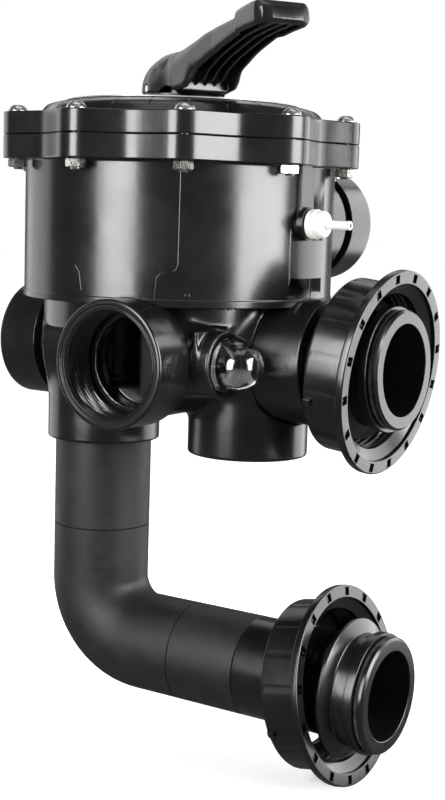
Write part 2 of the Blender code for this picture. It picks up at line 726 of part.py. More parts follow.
def sight_glass():
    """A clear dome with a flange that sits in the sight boss on a seal."""
    seat = 70 * MM
    flange_front = SIGHT_FACE_X + 0.5 * MM
    centre = SIGHT_FACE_X + 8.5 * MM
    flange_back = seat + 2.4 * MM
    wall = 2 * MM
    outer = [(DOME_R * math.sin(a), centre + DOME_R * math.cos(a)) for a in quarter(4)]
    inner = [((DOME_R - wall) * math.sin(a), centre + (DOME_R - wall) * math.cos(a)) for a in quarter(4)]
    profile = outer + [(DOME_R, flange_front), (16.4 * MM, flange_front), (16.4 * MM, flange_back)]
    profile += [(DOME_R - wall, flange_back)] + list(reversed(inner))
    glass = turned("sight_glass", profile, 20, CLEAR, ring=False)
    place(glass, VALVE, (0, SIGHT_Y, 0), "+X")
    place(o_ring("sight_glass_seal", 14 * MM, 0.9 * MM, seat + 1.2 * MM, 18), VALVE, (0, SIGHT_Y, 0), "+X")


def quarter(steps):
    return [math.pi / 2 * i / steps for i in range(steps + 1)]


def gauge_plug():
    """A white plug with a hose barb in the pressure port, on its seal."""
    head = GAUGE_FACE_X + 2.4 * MM
    profile = [
        (1.0 * MM, 128 * MM),
        (2.3 * MM, 128 * MM),
        (2.9 * MM, 125.5 * MM),
        (2.4 * MM, 125.3 * MM),
        (2.4 * MM, 111.5 * MM),
        (6.4 * MM, 110.6 * MM),
        (7.4 * MM, 109.4 * MM),
        (7.4 * MM, 105.6 * MM),
        (8.7 * MM, 105.2 * MM),
        (8.7 * MM, head),
        (6.0 * MM, head),
        (6.0 * MM, 90 * MM),
        (1.0 * MM, 90 * MM),
    ]
    at = (0, GAUGE_Y, GAUGE_Z)
    place(turned("gauge_plug", profile, 16, NYLON), VALVE, at, "+X")
    place(o_ring("gauge_plug_seal", 7.6 * MM, 0.9 * MM, GAUGE_FACE_X + 1.2 * MM, 16), VALVE, at, "+X")


def pipe(name, low, high, location, along="+Z", material=None):
    return place(washer(name, PIPE_R, PIPE_BORE_R, low, high, 28, material), VALVE, location, along)


def elbow_path(overrun):
    """Down the drop pipe's line, round the bend and along the lower union's line."""
    corner = Vector((DROP_X + ELBOW_BEND_R, 0, ELBOW_BEND_R - UNION_SPACING))
    points = [Vector((DROP_X, 0, ELBOW_TOP - GAP / 2 + overrun))]
    for turn in quarter(5):
        points.append(corner - ELBOW_BEND_R * Vector((math.cos(turn), 0, math.sin(turn))))
    return points + [Vector((ELBOW_END_X - GAP / 2 + overrun, 0, -UNION_SPACING))]


def drop_pipework():
    pipe("drop_pipe", ELBOW_TOP + GAP / 2, -40.4 * MM, (DROP_X, 0, 0), material=PIPE_ABS)
    elbow = place(swept("elbow", elbow_path(0), PIPE_R, 8, PIPE_ABS), VALVE)
    bore = place(swept("elbow_bore", elbow_path(2 * MM), PIPE_BORE_R, 8), VALVE)
    cut(elbow, bore)
    start = ELBOW_END_X + GAP / 2
    end = CROSS_PIPE_END_X - GAP / 2
    pipe("cross_pipe", start, end, (0, 0, -UNION_SPACING), "+X", PIPE_ABS)


def tailpiece(name, length, level):
    """A union tail with its seal groove, the shoulder that the nut pulls on, and a pipe spigot."""
    back_from_face = [
        (33.6, 0), (35, 1.4), (35, 3.5), (32, 3.5), (32, 6.5), (36.8, 6.5), (36.8, 12), (34, 12.6),
        (34, 21), (42.5, 24.5), (42.5, 26.5), (31.5, 26.5),
    ]
    profile = [(radius * MM, -back * MM) for radius, back in back_from_face]
    profile += [(PIPE_R, -length), (PIPE_BORE_R, -length), (PIPE_BORE_R, 0)]
    at = (UNION_FACE_X, 0, level)
    place(turned(name, profile, 28, ABS), VALVE, at, "+X")
    seal_name = name.replace("tail", "seal")
    place(o_ring(seal_name, 33.6 * MM, 1.2 * MM, -5 * MM, 28), VALVE, at, "+X")


def union_nut(name, centre, tilt):
    """A flanged nut that hangs loose behind its tail's shoulder; local +Z is the way it faces."""
    edge = 0.8 * MM
    lip_front = 4 * MM - NUT_LENGTH
    mouth_r = NUT_THREAD_R + 6.3 * MM
    profile = [
        (NUT_FLANGE_R - edge, 0),
        (NUT_FLANGE_R, -edge),
        (NUT_FLANGE_R, edge - NUT_FLANGE_THICK),
        (NUT_FLANGE_R - edge, -NUT_FLANGE_THICK),
        (NUT_BARREL_R, -NUT_FLANGE_THICK),
        (NUT_BARREL_R, -NUT_LENGTH),
        (NUT_LIP_R, -NUT_LENGTH),
        (NUT_LIP_R, lip_front),
        (NUT_THREAD_R, lip_front),
        (NUT_THREAD_R, -6 * MM),
        (mouth_r, -2.5 * MM),
        (mouth_r, 0),
    ]
    nut = turned(name, profile, 28, ABS)
    place(nut, VALVE, centre, (0, math.pi / 2 + tilt, 0))
    pockets = pocket_cutter(name + "_pockets")
    return cut(nut, place(pockets, VALVE, centre, (0, math.pi / 2 + tilt, 0)))


def pocket_cutter(name):
    """The flange's row of shallow square pockets, as separate boxes in one mesh."""
    mesh = bpy.data.meshes.new(name)
    shape = bmesh.new()
    size = Vector((4.4 * MM, 5.6 * MM, 7 * MM))
    for number in range(NUT_POCKETS):
        turn = Matrix.Rotation(2 * math.pi * (number + 0.5) / NUT_POCKETS, 4, "Z")
        spot = turn @ Matrix.Translation((56.4 * MM, 0, 0)) @ Matrix.Diagonal((*size, 1))
        bmesh.ops.create_cube(shape, size=1, matrix=spot)
    shape.to_mesh(mesh)
    shape.free()
    return linked(name, mesh)


def unions():
    tailpiece("union_tail_upper", UPPER_TAIL_LENGTH, 0)
    tailpiece("union_tail_lower", LOWER_TAIL_LENGTH, -UNION_SPACING)
    union_nut("union_nut_upper", UPPER_NUT_AT, UPPER_NUT_TILT)
    union_nut("union_nut_lower", LOWER_NUT_AT, LOWER_NUT_TILT)


def build():
    valve_bowl()
    port_manifold()
    manifold_rings()
    port_sockets()
    lid()
    lid_fasteners()
    star_gasket()
    diverter()
    spring_and_washers()
    handle()
    selector_rings()
    position_plate()
    sight_glass()
    gauge_plug()
    drop_pipework()
    unions()


clear_scene()
PARTS = new_collection(OBJECT_NAME)
CUTTERS = new_collection("cutters")
ABS = plastic("black_abs", (0.012, 0.012, 0.013), 0.22)
HANDLE_ABS = plastic("handle_abs", (0.015, 0.015, 0.016), 0.3)
PIPE_ABS = plastic("pipe_abs", (0.03, 0.03, 0.032), 0.45)
RUBBER = plastic("epdm_rubber", (0.01, 0.01, 0.01), 0.7)
STEEL = plastic("stainless", (0.6, 0.59, 0.57), 0.25, metallic=1.0)
NYLON = plastic("white_nylon", (0.8, 0.8, 0.79), 0.4)
PLATE = plastic("position_plate_film", (0.35, 0.36, 0.37), 0.35)
CLEAR = plastic("clear_polycarbonate", (0.9, 0.92, 0.93), 0.05, transmission=0.9)
VALVE = empty("valve_axis", None, (VALVE_X, 0, 0))
SELECTOR = empty("selector_axis", VALVE, (0, 0, 0), (0, 0, HANDLE_DIRECTION))
build()
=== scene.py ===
"""Looks of the multiport valve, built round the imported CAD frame.

Shapes are worked out in millimetres in the valve's own frame: Z up the valve axis, X towards the
filter tank, heights counted from the level of the lower ports. Ends and places come from the frame,
and the detail between them from the photo. Turned pieces are lathed from filleted profiles. Moulded
pieces with blended junctions are level surfaces of a distance field. The rest is swept along paths,
extruded from outlines and put together with Booleans.
"""

import json
import math

import bmesh
import bpy
import numpy as np
import openvdb
from mathutils import Matrix, Vector

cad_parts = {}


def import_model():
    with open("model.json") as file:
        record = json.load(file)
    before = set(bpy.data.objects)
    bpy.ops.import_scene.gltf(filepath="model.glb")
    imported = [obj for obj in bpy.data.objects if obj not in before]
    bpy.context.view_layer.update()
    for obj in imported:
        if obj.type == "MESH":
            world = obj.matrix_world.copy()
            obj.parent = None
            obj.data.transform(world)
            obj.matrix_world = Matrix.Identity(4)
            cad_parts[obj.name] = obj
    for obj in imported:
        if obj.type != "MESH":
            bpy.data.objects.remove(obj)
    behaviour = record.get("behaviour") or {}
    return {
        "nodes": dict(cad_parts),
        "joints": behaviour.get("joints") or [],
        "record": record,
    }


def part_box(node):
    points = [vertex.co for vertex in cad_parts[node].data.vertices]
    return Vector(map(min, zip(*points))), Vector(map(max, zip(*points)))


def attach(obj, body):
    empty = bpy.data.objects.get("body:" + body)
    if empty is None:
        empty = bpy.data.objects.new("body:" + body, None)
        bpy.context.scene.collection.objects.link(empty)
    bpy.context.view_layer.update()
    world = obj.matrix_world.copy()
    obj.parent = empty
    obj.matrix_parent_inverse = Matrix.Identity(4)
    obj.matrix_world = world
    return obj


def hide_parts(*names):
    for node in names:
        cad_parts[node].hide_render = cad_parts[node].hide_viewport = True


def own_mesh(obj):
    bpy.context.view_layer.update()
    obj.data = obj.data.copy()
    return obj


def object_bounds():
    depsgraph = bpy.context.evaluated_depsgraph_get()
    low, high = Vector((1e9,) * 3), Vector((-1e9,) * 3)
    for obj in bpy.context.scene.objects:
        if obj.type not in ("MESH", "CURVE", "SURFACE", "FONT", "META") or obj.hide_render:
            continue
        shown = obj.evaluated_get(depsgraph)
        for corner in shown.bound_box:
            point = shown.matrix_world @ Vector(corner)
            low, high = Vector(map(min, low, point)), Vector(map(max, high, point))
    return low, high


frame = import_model()
CAD_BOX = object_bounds()

MM = 0.001
RECORD = frame["record"]
JOINTS = {joint["name"]: joint for joint in frame["joints"]}
BODY_OF = {node: body for body, nodes in RECORD["behaviour"]["bodies"].items() for node in nodes}
SLOT_OF = {part["node"]: part["material_slot"] for part in RECORD["subparts"]}
VALVE = Vector((JOINTS["selector_turn"]["pos_m"][0], 0, 0))
PIN_AXIS = Vector(JOINTS["handle_press"]["axis"])
HANDLE_TURN = math.atan2(-PIN_AXIS.x, PIN_AXIS.y)

PIN_Z = JOINTS["handle_press"]["pos_m"][2] / MM

SMOOTH_ANGLE = math.radians(32)
NORMAL_WEIGHT = 60
FIELD_STEP = 0.05
MERGE_GAP = 1e-4
STEPS = 160
FILLET_STEPS = 5
FILLET_SHARE = 0.49
BEYOND = 200

TOWARDS = {
    "+X": Vector((1, 0, 0)),
    "-X": Vector((-1, 0, 0)),
    "+Y": Vector((0, 1, 0)),
    "-Y": Vector((0, -1, 0)),
    "+Z": Vector((0, 0, 1)),
}


def span(*nodes):
    """The lowest and highest corner of CAD nodes together, in millimetres in the valve's frame."""
    boxes = [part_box(node) for node in nodes]
    low = Vector([min(box[0][i] for box in boxes) for i in range(3)])
    high = Vector([max(box[1][i] for box in boxes) for i in range(3)])
    return (low - VALVE) / MM, (high - VALVE) / MM


# ---- meshes


def placed(name, data):
    obj = bpy.data.objects.new(name, data)
    bpy.context.scene.collection.objects.link(obj)
    return obj


def evaluated_mesh(obj):
    """The mesh of an object with its modifiers applied."""
    bpy.context.view_layer.update()
    graph = bpy.context.evaluated_depsgraph_get()
    return bpy.data.meshes.new_from_object(obj.evaluated_get(graph))


def shaded(mesh):
    mesh.shade_smooth()
    mesh.set_sharp_from_angle(angle=SMOOTH_ANGLE)
    return mesh


def outward(solid):
    """Turns the faces of a closed bmesh outwards."""
    bmesh.ops.recalc_face_normals(solid, faces=solid.faces)
    if solid.calc_volume(signed=True) < 0:
        bmesh.ops.reverse_faces(solid, faces=solid.faces)


def frozen(name, solid):
    """A mesh made from a bmesh, which is freed."""
    mesh = bpy.data.meshes.new(name)
    solid.to_mesh(mesh)
    solid.free()
    return mesh


def mesh_from(name, points, faces, merge=0.0):
    """A closed mesh with its faces outwards. Points closer than merge become one."""
    mesh = bpy.data.meshes.new(name)
    mesh.from_pydata([tuple(p) for p in points], [], faces)
    solid = bmesh.new()
    solid.from_mesh(mesh)
    if merge:
        bmesh.ops.remove_doubles(solid, verts=solid.verts, dist=merge)
    outward(solid)
    solid.to_mesh(mesh)
    solid.free()
    return mesh


def filleted(corners, steps=FILLET_STEPS, closed=True):
    """Rounds the corners of an outline. A corner is (a, b) or (a, b, radius)."""
    points = []
    count = len(corners)
    for i, corner in enumerate(corners):
        here = Vector(corner[:2])
        radius = corner[2] if len(corner) > 2 else 0
        if radius == 0 or (not closed and i in (0, count - 1)):
            points.append(here)
            continue
        before = Vector(corners[i - 1][:2]) - here
        after = Vector(corners[(i + 1) % count][:2]) - here
        turn = before.angle(after)
        room = FILLET_SHARE * min(before.length, after.length)
        reach = min(radius / math.tan(turn / 2), room)
        radius = reach * math.tan(turn / 2)
        bisector = (before.normalized() + after.normalized()).normalized()
        centre = here + bisector * radius / math.sin(turn / 2)
        start = here + before.normalized() * reach - centre
        end = here + after.normalized() * reach - centre
        sweep = start.angle_signed(end)
        for step in range(steps + 1):
            angle = -sweep * step / steps
            spun = Vector((
                start.x * math.cos(angle) - start.y * math.sin(angle),
                start.x * math.sin(angle) + start.y * math.cos(angle),
            ))
            points.append(centre + spun)
    return [(p.x, p.y) for p in points]


def even_angles(steps):
    return [2 * math.pi * i / steps for i in range(steps)]


def lathe(name, profile, angles=STEPS, shape=None, ring=True):
    """Turns (radius, height) points round Z, at these angles or in this many even steps.

    shape(angle, radius, height) may move each point.
    """
    if isinstance(angles, int):
        angles = even_angles(angles)
    rows = len(profile)
    points = []
    for angle in angles:
        for radius, height in profile:
            if shape:
                radius, height = shape(angle, radius, height)
            points.append((radius * math.cos(angle), radius * math.sin(angle), height))
    faces = []
    for i in range(len(angles)):
        j = (i + 1) % len(angles)
        for k in range(rows if ring else rows - 1):
            m = (k + 1) % rows
            faces.append((i * rows + k, j * rows + k, j * rows + m, i * rows + m))
    return mesh_from(name, points, faces, MERGE_GAP)


def aimed(mesh, along="+Z", at=(0, 0, 0), turn=0):
    """Turns a mesh about its own Z, points its Z along a direction and puts it in place."""
    direction = TOWARDS[along] if isinstance(along, str) else Vector(along)
    spin = Matrix.Rotation(turn, 4, "Z")
    aim = direction.to_track_quat("Z", "Y").to_matrix().to_4x4()
    mesh.transform(Matrix.Translation(Vector(at)) @ aim @ spin)
    return mesh


def rod(radius, low, high, sides=64, edge=0.0, sides_at=0.0):
    """A bar along Z with its rims rounded by edge. Its first side lies at the angle sides_at."""
    corners = [(0, high), (radius, high, edge), (radius, low, edge), (0, low)]
    angles = [a + sides_at for a in even_angles(sides)]
    return lathe("rod", filleted(corners, 4, closed=False), angles, ring=False)


def tube(outer, inner, low, high, sides=64, edge=0.0):
    """A pipe along Z with its rims rounded by edge."""
    rims = [(outer, high, edge), (outer, low, edge), (inner, low, edge), (inner, high, edge)]
    return lathe("tube", filleted(rims, 3), sides)


def round_edges(solid, edges, radius):
    bmesh.ops.bevel(solid, geom=edges, offset=radius, segments=3, profile=0.5, affect="EDGES")


def block(low, high, edge=0.0):
    """A box with rounded edges."""
    low, high = Vector(low), Vector(high)
    solid = bmesh.new()
    bmesh.ops.create_cube(solid, size=1)
    bmesh.ops.scale(solid, verts=solid.verts, vec=high - low)
    bmesh.ops.translate(solid, verts=solid.verts, vec=(high + low) / 2)
    if edge:
        round_edges(solid, solid.edges[:], edge)
    return frozen("block", solid)


def slab(outline, low, high, edge=0.0):
    """A flat outline of (x, y) points, extruded from low to high, its rims rounded by edge."""
    solid = bmesh.new()
    face = solid.faces.new([solid.verts.new((x, y, low)) for x, y in outline])
    grown = bmesh.ops.extrude_face_region(solid, geom=[face])
    top = [v for v in grown["geom"] if isinstance(v, bmesh.types.BMVert)]
    bmesh.ops.translate(solid, verts=top, vec=(0, 0, high - low))
    outward(solid)
    if edge:
        rims = [e for e in solid.edges if len({round(v.co.z, 4) for v in e.verts}) == 1]
        round_edges(solid, rims, edge)
    return frozen("slab", solid)


def heading(path, i):
    """The direction of a path at its point i."""
    return (path[min(i + 1, len(path) - 1)] - path[max(i - 1, 0)]).normalized()


def swept_wire(name, path, radius, sides):
    """A wire with flat ends along a path that goes round Z."""
    points = []
    for i, here in enumerate(path):
        out = Vector((here.x, here.y, 0)).normalized()
        side = heading(path, i).cross(out)
        for a in even_angles(sides):
            points.append(here + radius * (out * math.cos(a) + side * math.sin(a)))
    faces = []
    for k in range(0, len(points) - sides, sides):
        for i in range(sides):
            j = (i + 1) % sides
            faces.append((k + i, k + j, k + sides + j, k + sides + i))
    faces += [tuple(range(sides)), tuple(range(len(points) - sides, len(points)))]
    return mesh_from(name, points, faces)


def swept_tube(name, path, outer, inner, sides):
    """A hollow tube along a list of points in the XZ plane."""
    side = TOWARDS["+Y"]
    rows = []
    for radius in (outer, inner):
        for i, here in enumerate(path):
            up = side.cross(heading(path, i))
            across = [side * math.cos(a) + up * math.sin(a) for a in even_angles(sides)]
            rows.append([here + radius * way for way in across])
    rows = rows[: len(path)] + rows[: len(path) - 1 : -1]
    points = [p for row in rows for p in row]
    faces = []
    for k in range(len(rows)):
        m = (k + 1) % len(rows)
        for i in range(sides):
            j = (i + 1) % sides
            faces.append((k * sides + i, k * sides + j, m * sides + j, m * sides + i))
    return mesh_from(name, points, faces)


def combined(base, tools, operation):
    """The base mesh after an exact Boolean with each tool mesh."""
    holder = placed("boolean", base)
    used = [placed("tool", tool) for tool in tools]
    for other in used:
        modifier = holder.modifiers.new("cut", "BOOLEAN")
        modifier.operation = operation
        modifier.solver = "EXACT"
        modifier.object = other
    result = evaluated_mesh(holder)
    for obj in [holder, *used]:
        bpy.data.objects.remove(obj, do_unlink=True)
    return result


def cut(base, *tools):
    return combined(base, tools, "DIFFERENCE")


def join(base, *tools):
    return combined(base, tools, "UNION")


def loose(*meshes):
    """Separate solids kept in one mesh. They must not overlap, or a cut with them fails."""
    solid = bmesh.new()
    for mesh in meshes:
        solid.from_mesh(mesh)
    return frozen("loose", solid)


# ---- distance fields


def soft_min(a, b, blend):
    """The union of two fields, with a fillet where they meet."""
    near = np.maximum(blend - np.abs(a - b), 0) / blend
    return np.minimum(a, b) - near * near * blend / 4


def soft_max(a, b, blend):
    """What is in both fields, with a rounding where they meet."""
    return -soft_min(-a, -b, blend)


def bar(radial, along, low, high, edge):
    """A round bar: radial is the distance from its surface, along the place on its axis."""
    ends = np.abs(along - (low + high) / 2) - (high - low) / 2
    return soft_max(radial, ends, edge)


def brick(x, y, z, low, high, edge=1.0):
    """A box between two corners."""
    a = np.abs(x - (low[0] + high[0]) / 2) - (high[0] - low[0]) / 2
    b = np.abs(y - (low[1] + high[1]) / 2) - (high[1] - low[1]) / 2
    c = np.abs(z - (low[2] + high[2]) / 2) - (high[2] - low[2]) / 2
    return soft_max(soft_max(a, b, edge), c, edge)


def outline_distance(x, y, outline):
    """The signed distance to a closed outline, negative inside."""
    x, y = np.broadcast_arrays(x, y)
    nearest = np.full(x.shape, 1e9)
    inside = np.zeros(x.shape, bool)
    for (ax, ay), (bx, by) in zip(outline, outline[1:] + outline[:1]):
        ex, ey = bx - ax, by - ay
        along = np.clip(((x - ax) * ex + (y - ay) * ey) / (ex * ex + ey * ey), 0, 1)
        gap_x, gap_y = x - ax - ex * along, y - ay - ey * along
        nearest = np.minimum(nearest, gap_x * gap_x + gap_y * gap_y)
        crosses = (ay > y) != (by > y)
        where = ax + (y - ay) * ex / (ey if ey else 1e-9)
        inside ^= crosses & (x < where)
    return np.where(inside, -1, 1) * np.sqrt(nearest)


def field_mesh(name, field, low, high, cell):
    """The level surface of field(x, y, z), with its points and normals brought onto the field."""
    low = np.array(low, float) - 2 * cell
    counts = np.ceil((np.array(high, float) + 2 * cell - low) / cell).astype(int) + 1
    axes = [low[i] + cell * np.arange(counts[i]) for i in range(3)]
    values = field(axes[0][:, None, None], axes[1][None, :, None], axes[2][None, None, :])
    values = np.clip(values / cell, -3, 3).astype(np.float32)
    grid = openvdb.FloatGrid(3.0)
    grid.copyFromArray(np.array(np.broadcast_to(values, counts)))
    points, quads = grid.convertToQuads(isovalue=0)
    points = np.array(points, float) * cell + low
    for _ in range(3):
        slope, value = field_slope(field, points)
        length = np.maximum(np.sum(slope * slope, axis=1), 0.04)
        step = np.clip(value / length, -0.4 * cell, 0.4 * cell)
        points -= slope * step[:, None]
    slope, _ = field_slope(field, points)
    normals = slope / np.maximum(np.linalg.norm(slope, axis=1), 1e-6)[:, None]
    mesh = bpy.data.meshes.new(name)
    mesh.from_pydata(points.tolist(), [], np.array(quads).tolist())
    mesh.shade_smooth()
    mesh.update()
    mesh.normals_split_custom_set_from_vertices(normals.tolist())
    return mesh


def field_slope(field, points):
    """The field's gradient and value at each point."""
    slope = np.empty_like(points)
    for i in range(3):
        ahead, behind = points.copy(), points.copy()
        ahead[:, i] += FIELD_STEP
        behind[:, i] -= FIELD_STEP
        rise = field(*ahead.T) - field(*behind.T)
        slope[:, i] = rise / (2 * FIELD_STEP)
    return slope, field(*points.T)


# ---- materials


class Nodes:
    """The node tree of a material or a world, with short ways to add to it."""

    def __init__(self, owner):
        owner.use_nodes = True
        self.tree = owner.node_tree

    def connect(self, socket, value):
        if isinstance(value, bpy.types.NodeSocket):
            self.tree.links.new(value, socket)
        else:
            socket.default_value = value

    def node(self, kind, inputs=None, **settings):
        made = self.tree.nodes.new(kind)
        for key, value in settings.items():
            setattr(made, key, value)
        for key, value in (inputs or {}).items():
            self.connect(made.inputs[key], value)
        return made

    def calc(self, operation, one, other):
        return self.node("ShaderNodeMath", {0: one, 1: other}, operation=operation).outputs[0]

    def spread(self, value, low, high, start=0.35, end=0.65):
        made = self.node(
            "ShaderNodeMapRange",
            {"Value": value, "From Min": start, "From Max": end, "To Min": low, "To Max": high},
            interpolation_type="SMOOTHSTEP",
        )
        return made.outputs["Result"]


class Recipe(Nodes):
    """A material. Its patterns are placed by the object's own metres."""

    def __init__(self, name, color, roughness, **settings):
        self.material = bpy.data.materials.new(name)
        super().__init__(self.material)
        self.shader = self.tree.nodes["Principled BSDF"]
        self.place = self.node("ShaderNodeTexCoord").outputs["Object"]
        self.feed(Base_Color=(*color, 1), Roughness=roughness, **settings)

    def feed(self, **inputs):
        for key, value in inputs.items():
            self.connect(self.shader.inputs[key.replace("_", " ")], value)

    def noise(self, size, detail=3.0, stretch=(1, 1, 1)):
        """Noise whose features are about size metres across, times stretch."""
        scale = [1 / (size * s) for s in stretch]
        scaled = self.node("ShaderNodeMapping", {"Vector": self.place, "Scale": scale})
        inputs = {"Vector": scaled.outputs["Vector"], "Scale": 1.0, "Detail": detail}
        return self.node("ShaderNodeTexNoise", {**inputs, "Roughness": 0.55}).outputs["Fac"]

    def blend(self, share, one, other):
        return self.node("ShaderNodeMix", {0: share, 6: one, 7: other}, data_type="RGBA").outputs[2]

    def mottled(self, pattern, one, other):
        """Two colours in patches."""
        return self.blend(self.spread(pattern, 0, 1), (*one, 1), (*other, 1))

    def bump(self, height, depth, under=None):
        inputs = {"Height": height, "Strength": 1.0, "Distance": depth}
        if under:
            inputs["Normal"] = under
        return self.node("ShaderNodeBump", inputs).outputs["Normal"]


def moulded_plastic(name, color, gloss, dull, grain_size, grain_depth):
    """Moulded ABS: smudges, a faint orange peel, fine grain and a little dust on top faces."""
    recipe = Recipe(name, color, gloss, Specular_IOR_Level=0.5, IOR=1.53)
    smudges = recipe.noise(0.035, 4)
    normal = recipe.node("ShaderNodeNewGeometry").outputs["Normal"]
    up = recipe.node("ShaderNodeSeparateXYZ", {0: normal}).outputs["Z"]
    lying = recipe.spread(up, 0.0, 1.0, 0.5, 1.0)
    specks = recipe.spread(recipe.noise(0.0012, 2), 0.0, 1.0, 0.56, 0.74)
    dust = recipe.calc("MULTIPLY", recipe.calc("MULTIPLY", lying, specks), 0.03)
    tone = recipe.mottled(smudges, color, [1.45 * c for c in color])
    peel = recipe.bump(recipe.noise(0.0035, 2), 0.00003)
    recipe.feed(
        Base_Color=recipe.blend(dust, tone, (0.35, 0.34, 0.32, 1)),
        Roughness=recipe.spread(smudges, gloss, dull),
        Normal=recipe.bump(recipe.noise(grain_size, 2), grain_depth, peel),
    )
    return recipe.material


def extruded_plastic(name, color, gloss, dull):
    """Drawn pipe: fine lines along it, soft scuffs and a satin surface."""
    recipe = Recipe(name, color, gloss, Specular_IOR_Level=0.32, IOR=1.5)
    lines = recipe.noise(0.0009, 2, (8, 1, 12))
    scuffs = recipe.noise(0.018, 5)
    recipe.feed(
        Base_Color=recipe.mottled(scuffs, color, [1.35 * c for c in color]),
        Roughness=recipe.spread(scuffs, gloss, dull),
        Normal=recipe.bump(lines, 0.000018, recipe.bump(recipe.noise(0.0005, 2), 0.00001)),
    )
    return recipe.material


def rubber():
    recipe = Recipe("rubber_look", (0.012, 0.012, 0.012), 0.7, Specular_IOR_Level=0.3)
    bloom = recipe.noise(0.004, 4)
    recipe.feed(
        Base_Color=recipe.mottled(bloom, (0.01, 0.01, 0.01), (0.03, 0.03, 0.03)),
        Roughness=recipe.spread(bloom, 0.6, 0.82),
        Normal=recipe.bump(recipe.noise(0.0006, 3), 0.00004),
    )
    return recipe.material


def stainless():
    """Bright cold-formed steel with fine tool marks and dull spots."""
    recipe = Recipe("stainless_look", (0.62, 0.61, 0.59), 0.22, Metallic=1.0)
    marks = recipe.noise(0.0004, 3, (1, 1, 6))
    stains = recipe.noise(0.003, 4)
    recipe.feed(
        Base_Color=recipe.mottled(stains, (0.66, 0.65, 0.62), (0.42, 0.41, 0.39)),
        Roughness=recipe.spread(marks, 0.16, 0.38),
        Normal=recipe.bump(marks, 0.000012),
    )
    return recipe.material


def nylon(name, tone):
    """Slightly translucent nylon, cloudy, in a pale or a dark tone."""
    light, dark = (tone, tone, 0.98 * tone), (0.88 * tone, 0.88 * tone, 0.84 * tone)
    recipe = Recipe(name, light, 0.38, Subsurface_Weight=0.15, Subsurface_Scale=0.002)
    cloud = recipe.noise(0.005, 3)
    recipe.feed(
        Base_Color=recipe.mottled(cloud, light, dark),
        Roughness=recipe.spread(cloud, 0.3, 0.48),
        Normal=recipe.bump(recipe.noise(0.0008, 2), 0.00001),
    )
    return recipe.material


def clear_plastic():
    recipe = Recipe("clear_look", (0.93, 0.95, 0.95), 0.03, Transmission_Weight=1.0, IOR=1.58)
    ripple = recipe.noise(0.006, 2)
    recipe.feed(
        Roughness=recipe.spread(ripple, 0.02, 0.07),
        Normal=recipe.bump(ripple, 0.00008),
    )
    return recipe.material


def plate_film():
    """The selector's silver plate, finely brushed and a little worn."""
    recipe = Recipe("plate_look", (0.4, 0.41, 0.42), 0.35, Metallic=0.6)
    brush = recipe.noise(0.0005, 2, (14, 14, 1))
    wear = recipe.noise(0.012, 4)
    recipe.feed(
        Base_Color=recipe.mottled(wear, (0.34, 0.35, 0.36), (0.25, 0.26, 0.27)),
        Roughness=recipe.spread(brush, 0.25, 0.5),
        Normal=recipe.bump(brush, 0.00001),
    )
    return recipe.material


def plate_ink():
    recipe = Recipe("ink_look", (0.02, 0.02, 0.022), 0.45)
    thin = recipe.noise(0.002, 3)
    recipe.feed(
        Base_Color=recipe.mottled(thin, (0.015, 0.015, 0.017), (0.05, 0.05, 0.055)),
        Roughness=recipe.spread(thin, 0.35, 0.6),
        Normal=recipe.bump(thin, 0.00001),
    )
    return recipe.material


BODY_BLACK = (0.0025, 0.0026, 0.0029)
HANDLE_BLACK = (0.003, 0.003, 0.0032)
PIPE_BLACK = (0.006, 0.0061, 0.0065)
CLEAN_TONE, DARK_NYLON_TONE = 0.5, 0.03

LOOKS = {
    "black_abs": moulded_plastic("black_abs_look", BODY_BLACK, 0.20, 0.26, 0.0006, 0.000006),
    "handle_abs": moulded_plastic("handle_abs_look", HANDLE_BLACK, 0.22, 0.30, 0.0005, 0.000012),
    "pipe_abs": extruded_plastic("pipe_abs_look", PIPE_BLACK, 0.46, 0.56),
    "epdm_rubber": rubber(),
    "stainless": stainless(),
    "white_nylon": nylon("nylon_look", CLEAN_TONE),
    "clear_cover": clear_plastic(),
    "plate_film": plate_film(),
}


# ---- pieces


def piece(name, mesh, nodes, at=(0, 0, 0), keep_normals=False):
    """A finished piece in place of CAD nodes, from a mesh in millimetres round the point at."""
    first = nodes[0]
    if not keep_normals:
        shaded(mesh)
    mesh.transform(Matrix.Scale(MM, 4))
    mesh.name = name
    mesh.materials.clear()
    mesh.materials.append(LOOKS[SLOT_OF[first]])
    obj = placed(name, mesh)
    obj.location = VALVE + Vector(at) * MM
    if not keep_normals:
        even = obj.modifiers.new("even_shading", "WEIGHTED_NORMAL")
        even.keep_sharp = True
        even.weight = NORMAL_WEIGHT
    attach(obj, BODY_OF[first])
    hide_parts(*nodes)
    return obj


BOLTS = [f"lid_bolt_{number:02d}" for number in range(1, 11)]
NUTS = [f"lid_nut_{number:02d}" for number in range(1, 11)]
BOWL_LOW, BOWL_HIGH = span("valve_bowl")
LID_LOW, LID_HIGH = span("lid")
WASTE_LOW, WASTE_HIGH = span("waste_socket")
RETURN_LOW, RETURN_HIGH = span("return_socket")
PUMP_LOW, PUMP_HIGH = span("pump_socket")
FILTER_LOW, FILTER_HIGH = span("filter_top_socket")
MANIFOLD_NODES = ["port_manifold", "waste_neck", "return_neck", "filter_neck"]
MANIFOLD_NODES += ["drop_socket", "spare_socket"]
MANIFOLD_LOW, MANIFOLD_HIGH = span(*MANIFOLD_NODES)
DROP_LOW, DROP_HIGH = span("drop_pipe")
GLASS_LOW, GLASS_HIGH = span("sight_glass")
PLUG_LOW, PLUG_HIGH = span("gauge_plug")

